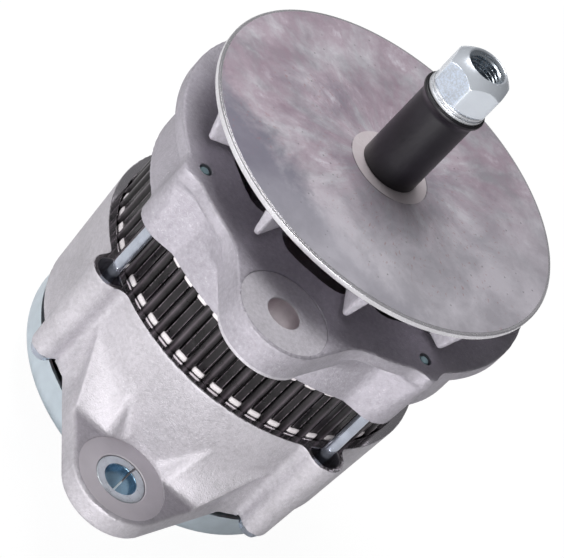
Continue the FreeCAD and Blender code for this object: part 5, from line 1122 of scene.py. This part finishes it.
def bolt(x, y, end, seat, shank, flats, head_height, flange, thread_length, steps=48, pitch=1.0):
    """Bolt that points up: flanged hexagon head under its seat and a thread at its end.

    The thread's radius is the shank less a triangle wave that climbs one pitch a turn.
    """
    angle = full_turn(steps)
    point = 0.02  # known fault: both ends stay open by this radius
    hexagon = np.minimum(hexagon_radius(angle, flats), flats / 2 / math.cos(math.pi / 6) - 0.12)
    base, thread = seat - head_height, end - thread_length
    rows = [(point, base), (flats * 0.40, base), (np.minimum(hexagon, flats * 0.47), base + 0.12),
            (np.minimum(hexagon, flats * 0.52), base + 0.5), (hexagon, base + 0.9), (hexagon, seat - 0.95),
            (flange - 0.15, seat - 0.75), (flange, seat - 0.5), (flange, seat - 0.02),
            (shank, seat - 0.01), (shank, thread)]
    for level in np.arange(thread + 0.2, end - 0.6, pitch / 6):
        wave = triangle_wave(level / pitch - angle / (2 * math.pi))
        rows.append((shank - 0.32 * (1 - wave), level))
    rows += [(shank - 0.35, end - 0.35), (shank - 0.8, end), (point, end)]
    points = np.concatenate([around(radius, angle, level, x, y) for radius, level in rows])
    return points, grid_faces(len(rows), steps, False, True)


class ALTERNATOR_OT_rear(bpy.types.Operator):
    """Rear cover and split bushing"""
    bl_idname = "alternator.rear"
    bl_label = "Rear cover and bushing"

    def execute(self, context):
        cover = thinned("pressed_cover", cover_field, (-COVER_R, -COVER_R, COVER_END_Z),
                        (COVER_R, COVER_R, COVER_Z), 0.8, 0.5,
                        "housing", "zinc_steel", ["rear_cover"])
        cover.data.materials.append(
            plain_finish("cover_zinc", (0.65, 0.73, 0.79, 1.0), 0.75, 0.35, 0.14, 120.0, 0.1))
        bushing = closed_piece("split_bushing", split_bushing(), "bushing", "zinc_steel", 35.0,
                               ["hinge_bushing"])
        spot, _ = face_data(bushing)
        bore = hinge_distance(spot[:, 0], spot[:, 1]) < 7.3
        paint_faces(bushing, [
            plain_finish("bushing_zinc", (0.70, 0.76, 0.80, 1.0), 0.8, 0.3, 0.2, 200.0, 0.1),
            plain_finish("bushing_bore_zinc", (0.36, 0.55, 0.72, 1.0), 0.9, 0.25, 0.3, 200.0, 0.1),
        ], bore.astype(int))
        return {"FINISHED"}


def split_bushing():
    """Rounded wall section carried round the hinge axis from one side of the slit to the other."""
    inner, outer, half_slit, steps = 6.9, 10.9, 0.5, 97
    top, bottom = REAR_SPOTFACE_Z - 0.3, REAR_LUG_END_Z - 3.6
    profile = rounded([(inner, top), (outer, top), (outer, bottom), (inner, bottom)], 0.6, 3)
    slit, half = math.radians(77.0), math.asin(half_slit / 9.0)
    turn = np.linspace(slit + half, slit + 2 * math.pi - half, steps)[:, None]
    points = around(profile[:, 0][None], turn, profile[:, 1][None], 0.0, -HINGE_REACH).reshape(-1, 3)
    count = len(profile)
    faces = grid_faces(steps, count, False, True).tolist()
    faces += [list(range(count)), list(range(steps * count - 1, (steps - 1) * count - 1, -1))]
    return points, faces


# Nodes that stay as the CAD has them, with the values of their plain finish: its name, colour,
# metallic share, roughness, mottling, scale of the mottling and bump
CARRIED_OVER = (
    ("rotor_shaft",
     "shaft_steel_finish", (0.42, 0.42, 0.44, 1.0), 1.0, 0.33, 0.25, 130.0, 0.12),
    ("drive_bearing_outer_ring drive_bearing_inner_ring drive_bearing_balls rear_bearing_outer_ring "
     "rear_bearing_inner_ring rear_bearing_balls positive_diodes negative_diodes brush_spring_front "
     "brush_spring_rear",
     "ground_steel", (0.55, 0.55, 0.56, 1.0), 1.0, 0.25, 0.12, 180.0, 0.08),
    ("drive_bearing_seals rear_bearing_seals",
     "seal_rubber_finish", (0.03, 0.03, 0.032, 1.0), 0.0, 0.55, 0.2, 90.0, 0.3),
    ("front_pole_piece rear_pole_piece rotor_core",
     "forged_steel", (0.12, 0.115, 0.11, 1.0), 0.6, 0.45, 0.35, 80.0, 0.4),
    ("coil_bobbin",
     "bobbin_plastic", (0.55, 0.50, 0.40, 1.0), 0.0, 0.5, 0.15, 70.0, 0.2),
    ("slip_ring_hub brush_holder voltage_regulator output_insulator",
     "moulded_black", (0.035, 0.033, 0.032, 1.0), 0.0, 0.42, 0.2, 90.0, 0.25),
    ("slip_ring_front slip_ring_rear",
     "ring_copper_finish", (0.75, 0.42, 0.25, 1.0), 1.0, 0.25, 0.15, 140.0, 0.1),
    ("brush_front brush_rear",
     "brush_carbon_finish", (0.05, 0.05, 0.052, 1.0), 0.1, 0.6, 0.25, 220.0, 0.3),
    ("positive_rectifier_plate negative_rectifier_plate capacitor",
     "plate_aluminium_finish", (0.68, 0.68, 0.67, 1.0), 0.9, 0.38, 0.12, 110.0, 0.15),
    ("output_stud",
     "stud_brass", (0.72, 0.60, 0.36, 1.0), 1.0, 0.28, 0.15, 150.0, 0.1),
)
PLATED_NODES = (
    "fan_spacer bearing_retainer retainer_screws brush_holder_posts brush_holder_screws cover_screws "
    "cover_standoffs regulator_screws capacitor_screw capacitor_clamp positive_plate_posts "
    "negative_plate_posts positive_plate_screws negative_plate_screws ground_screw output_nut fan_key")


class ALTERNATOR_OT_finishes(bpy.types.Operator):
    """Procedural finishes for the nodes that are carried over"""
    bl_idname = "alternator.finishes"
    bl_label = "Finishes of the carried-over nodes"

    def execute(self, context):
        zinc = tuple(context.scene.alternator_rotor.zinc_colour)
        winding = tuple(context.scene.alternator_stator.winding_colour)
        looks = [(nodes, plain_finish(*values)) for nodes, *values in CARRIED_OVER]
        looks += [
            (PLATED_NODES, plain_finish("screw_zinc", zinc, 1.0, 0.3, 0.15, 160.0, 0.1)),
            ("stator_winding phase_leads", wire_finish("winding_enamel", winding)),
            ("field_coil", wire_finish("coil_enamel", (0.30, 0.07, 0.03, 1.0))),
        ]
        for nodes, material in looks:
            for name in nodes.split():
                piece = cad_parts[name]
                piece.data.materials.clear()
                piece.data.materials.append(material)
        return {"FINISHED"}


# Name, place in metres, width and height in metres and power in watts of each lamp
LAMPS = (
    ("front_strip", (-0.05, -1.0, -0.065), (1.0, 0.13), 11.0),
    ("left_strip", (-1.1, -0.5, 0.03), (0.7, 0.2), 4.5),
    ("top_lamp", (-0.45, 0.55, 1.35), (0.9, 0.9), 16.3),
)


class ALTERNATOR_OT_stage(bpy.types.Operator):
    """Floor, lamps, sky and the photograph's camera"""
    bl_idname = "alternator.stage"
    bl_label = "Stage"

    def execute(self, context):
        scene = context.scene
        settings = scene.alternator_stage
        white, sky = (1.0, 1.0, 1.0, 1.0), (0.97, 0.97, 1.0, 1.0)
        span, level = 6.0, settings.floor_level
        corners = [(span * a, span * b, level) for a, b in ((-1, -1), (1, -1), (1, 1), (-1, 1))]
        mesh = bpy.data.meshes.new("floor")
        mesh.from_pydata(corners, [], [(0, 1, 2, 3)])
        floor = bpy.data.objects.new("floor", mesh)
        scene.collection.objects.link(floor)
        pale_floor = bpy.data.materials.new("pale_floor")
        white_to_camera(pale_floor, "ShaderNodeOutputMaterial",
                        ("ShaderNodeBsdfDiffuse", None, {"Color": tuple(settings.floor_colour)}),
                        ("ShaderNodeEmission", None, {"Color": white, "Strength": 1.06}), 0.9)
        mesh.materials.append(pale_floor)
        scene.world = bpy.data.worlds.new("studio")
        white_to_camera(scene.world, "ShaderNodeOutputWorld",
                        ("ShaderNodeBackground", None, {"Color": sky, "Strength": 0.15}),
                        ("ShaderNodeBackground", None, {"Color": white, "Strength": 1.0}), 1.0)
        centre = np.array([0.0, HINGE_REACH / 1000.0, -0.04])
        for name, place, size, power in LAMPS:
            light = bpy.data.lights.new(name, "AREA")
            light.shape, light.energy = "RECTANGLE", power
            light.size, light.size_y = size
            lamp = bpy.data.objects.new(name, light)
            scene.collection.objects.link(lamp)
            away = np.array(place) - centre
            away /= np.linalg.norm(away)
            right = np.cross((0.0, 0.0, 1.0), away)
            right /= max(np.linalg.norm(right), 1e-6)
            lamp.matrix_world = placed(right, np.cross(away, right), away, place)
        camera = bpy.data.objects.new("photo_camera", bpy.data.cameras.new("photo_camera"))
        scene.collection.objects.link(camera)
        camera.matrix_world = placed(
            right=(0.75438, 0.31975, 0.57329), up=(-0.65072, 0.47921, 0.58900),
            back=(-0.08639, -0.81739, 0.56958), place=(-0.0939, -0.8016, 0.5692))
        camera.data.sensor_width = 36.0
        camera.data.lens = 176.9
        camera.data.clip_start = 0.01
        scene.camera = camera
        scene.view_settings.view_transform = "Standard"
        return {"FINISHED"}


def placed(right, up, back, place):
    """Matrix that puts an object at a place with its x, y and z along three directions."""
    return Matrix([[right[i], up[i], back[i], place[i]] for i in range(3)] + [[0, 0, 0, 1]])


class ALTERNATOR_PT_panel(bpy.types.Panel):
    """Sizes, colours and steps of the alternator"""
    bl_idname = "ALTERNATOR_PT_panel"
    bl_label = "Alternator"
    bl_space_type = "VIEW_3D"
    bl_region_type = "UI"
    bl_category = "Alternator"

    def draw(self, context):
        for name, group in GROUPS.items():
            settings = getattr(context.scene, name)
            box = self.layout.box()
            for key in group.__annotations__:
                box.prop(settings, key)
        for step in STEPS:
            self.layout.operator(step.bl_idname)


STEPS = [
    ALTERNATOR_OT_housings, ALTERNATOR_OT_fan, ALTERNATOR_OT_shaft_end, ALTERNATOR_OT_stator,
    ALTERNATOR_OT_bolts, ALTERNATOR_OT_rear, ALTERNATOR_OT_finishes, ALTERNATOR_OT_stage,
]
CLASSES = list(GROUPS.values()) + STEPS + [ALTERNATOR_PT_panel]


def register():
    for item in CLASSES:
        bpy.utils.register_class(item)
    for name, group in GROUPS.items():
        setattr(bpy.types.Scene, name, bpy.props.PointerProperty(type=group))


def unregister():
    for name in GROUPS:
        delattr(bpy.types.Scene, name)
    for item in reversed(CLASSES):
        bpy.utils.unregister_class(item)


def main():
    register()
    for step in STEPS:
        group, name = step.bl_idname.split(".")
        getattr(getattr(bpy.ops, group), name)()


if __name__ == "__main__":
    main()
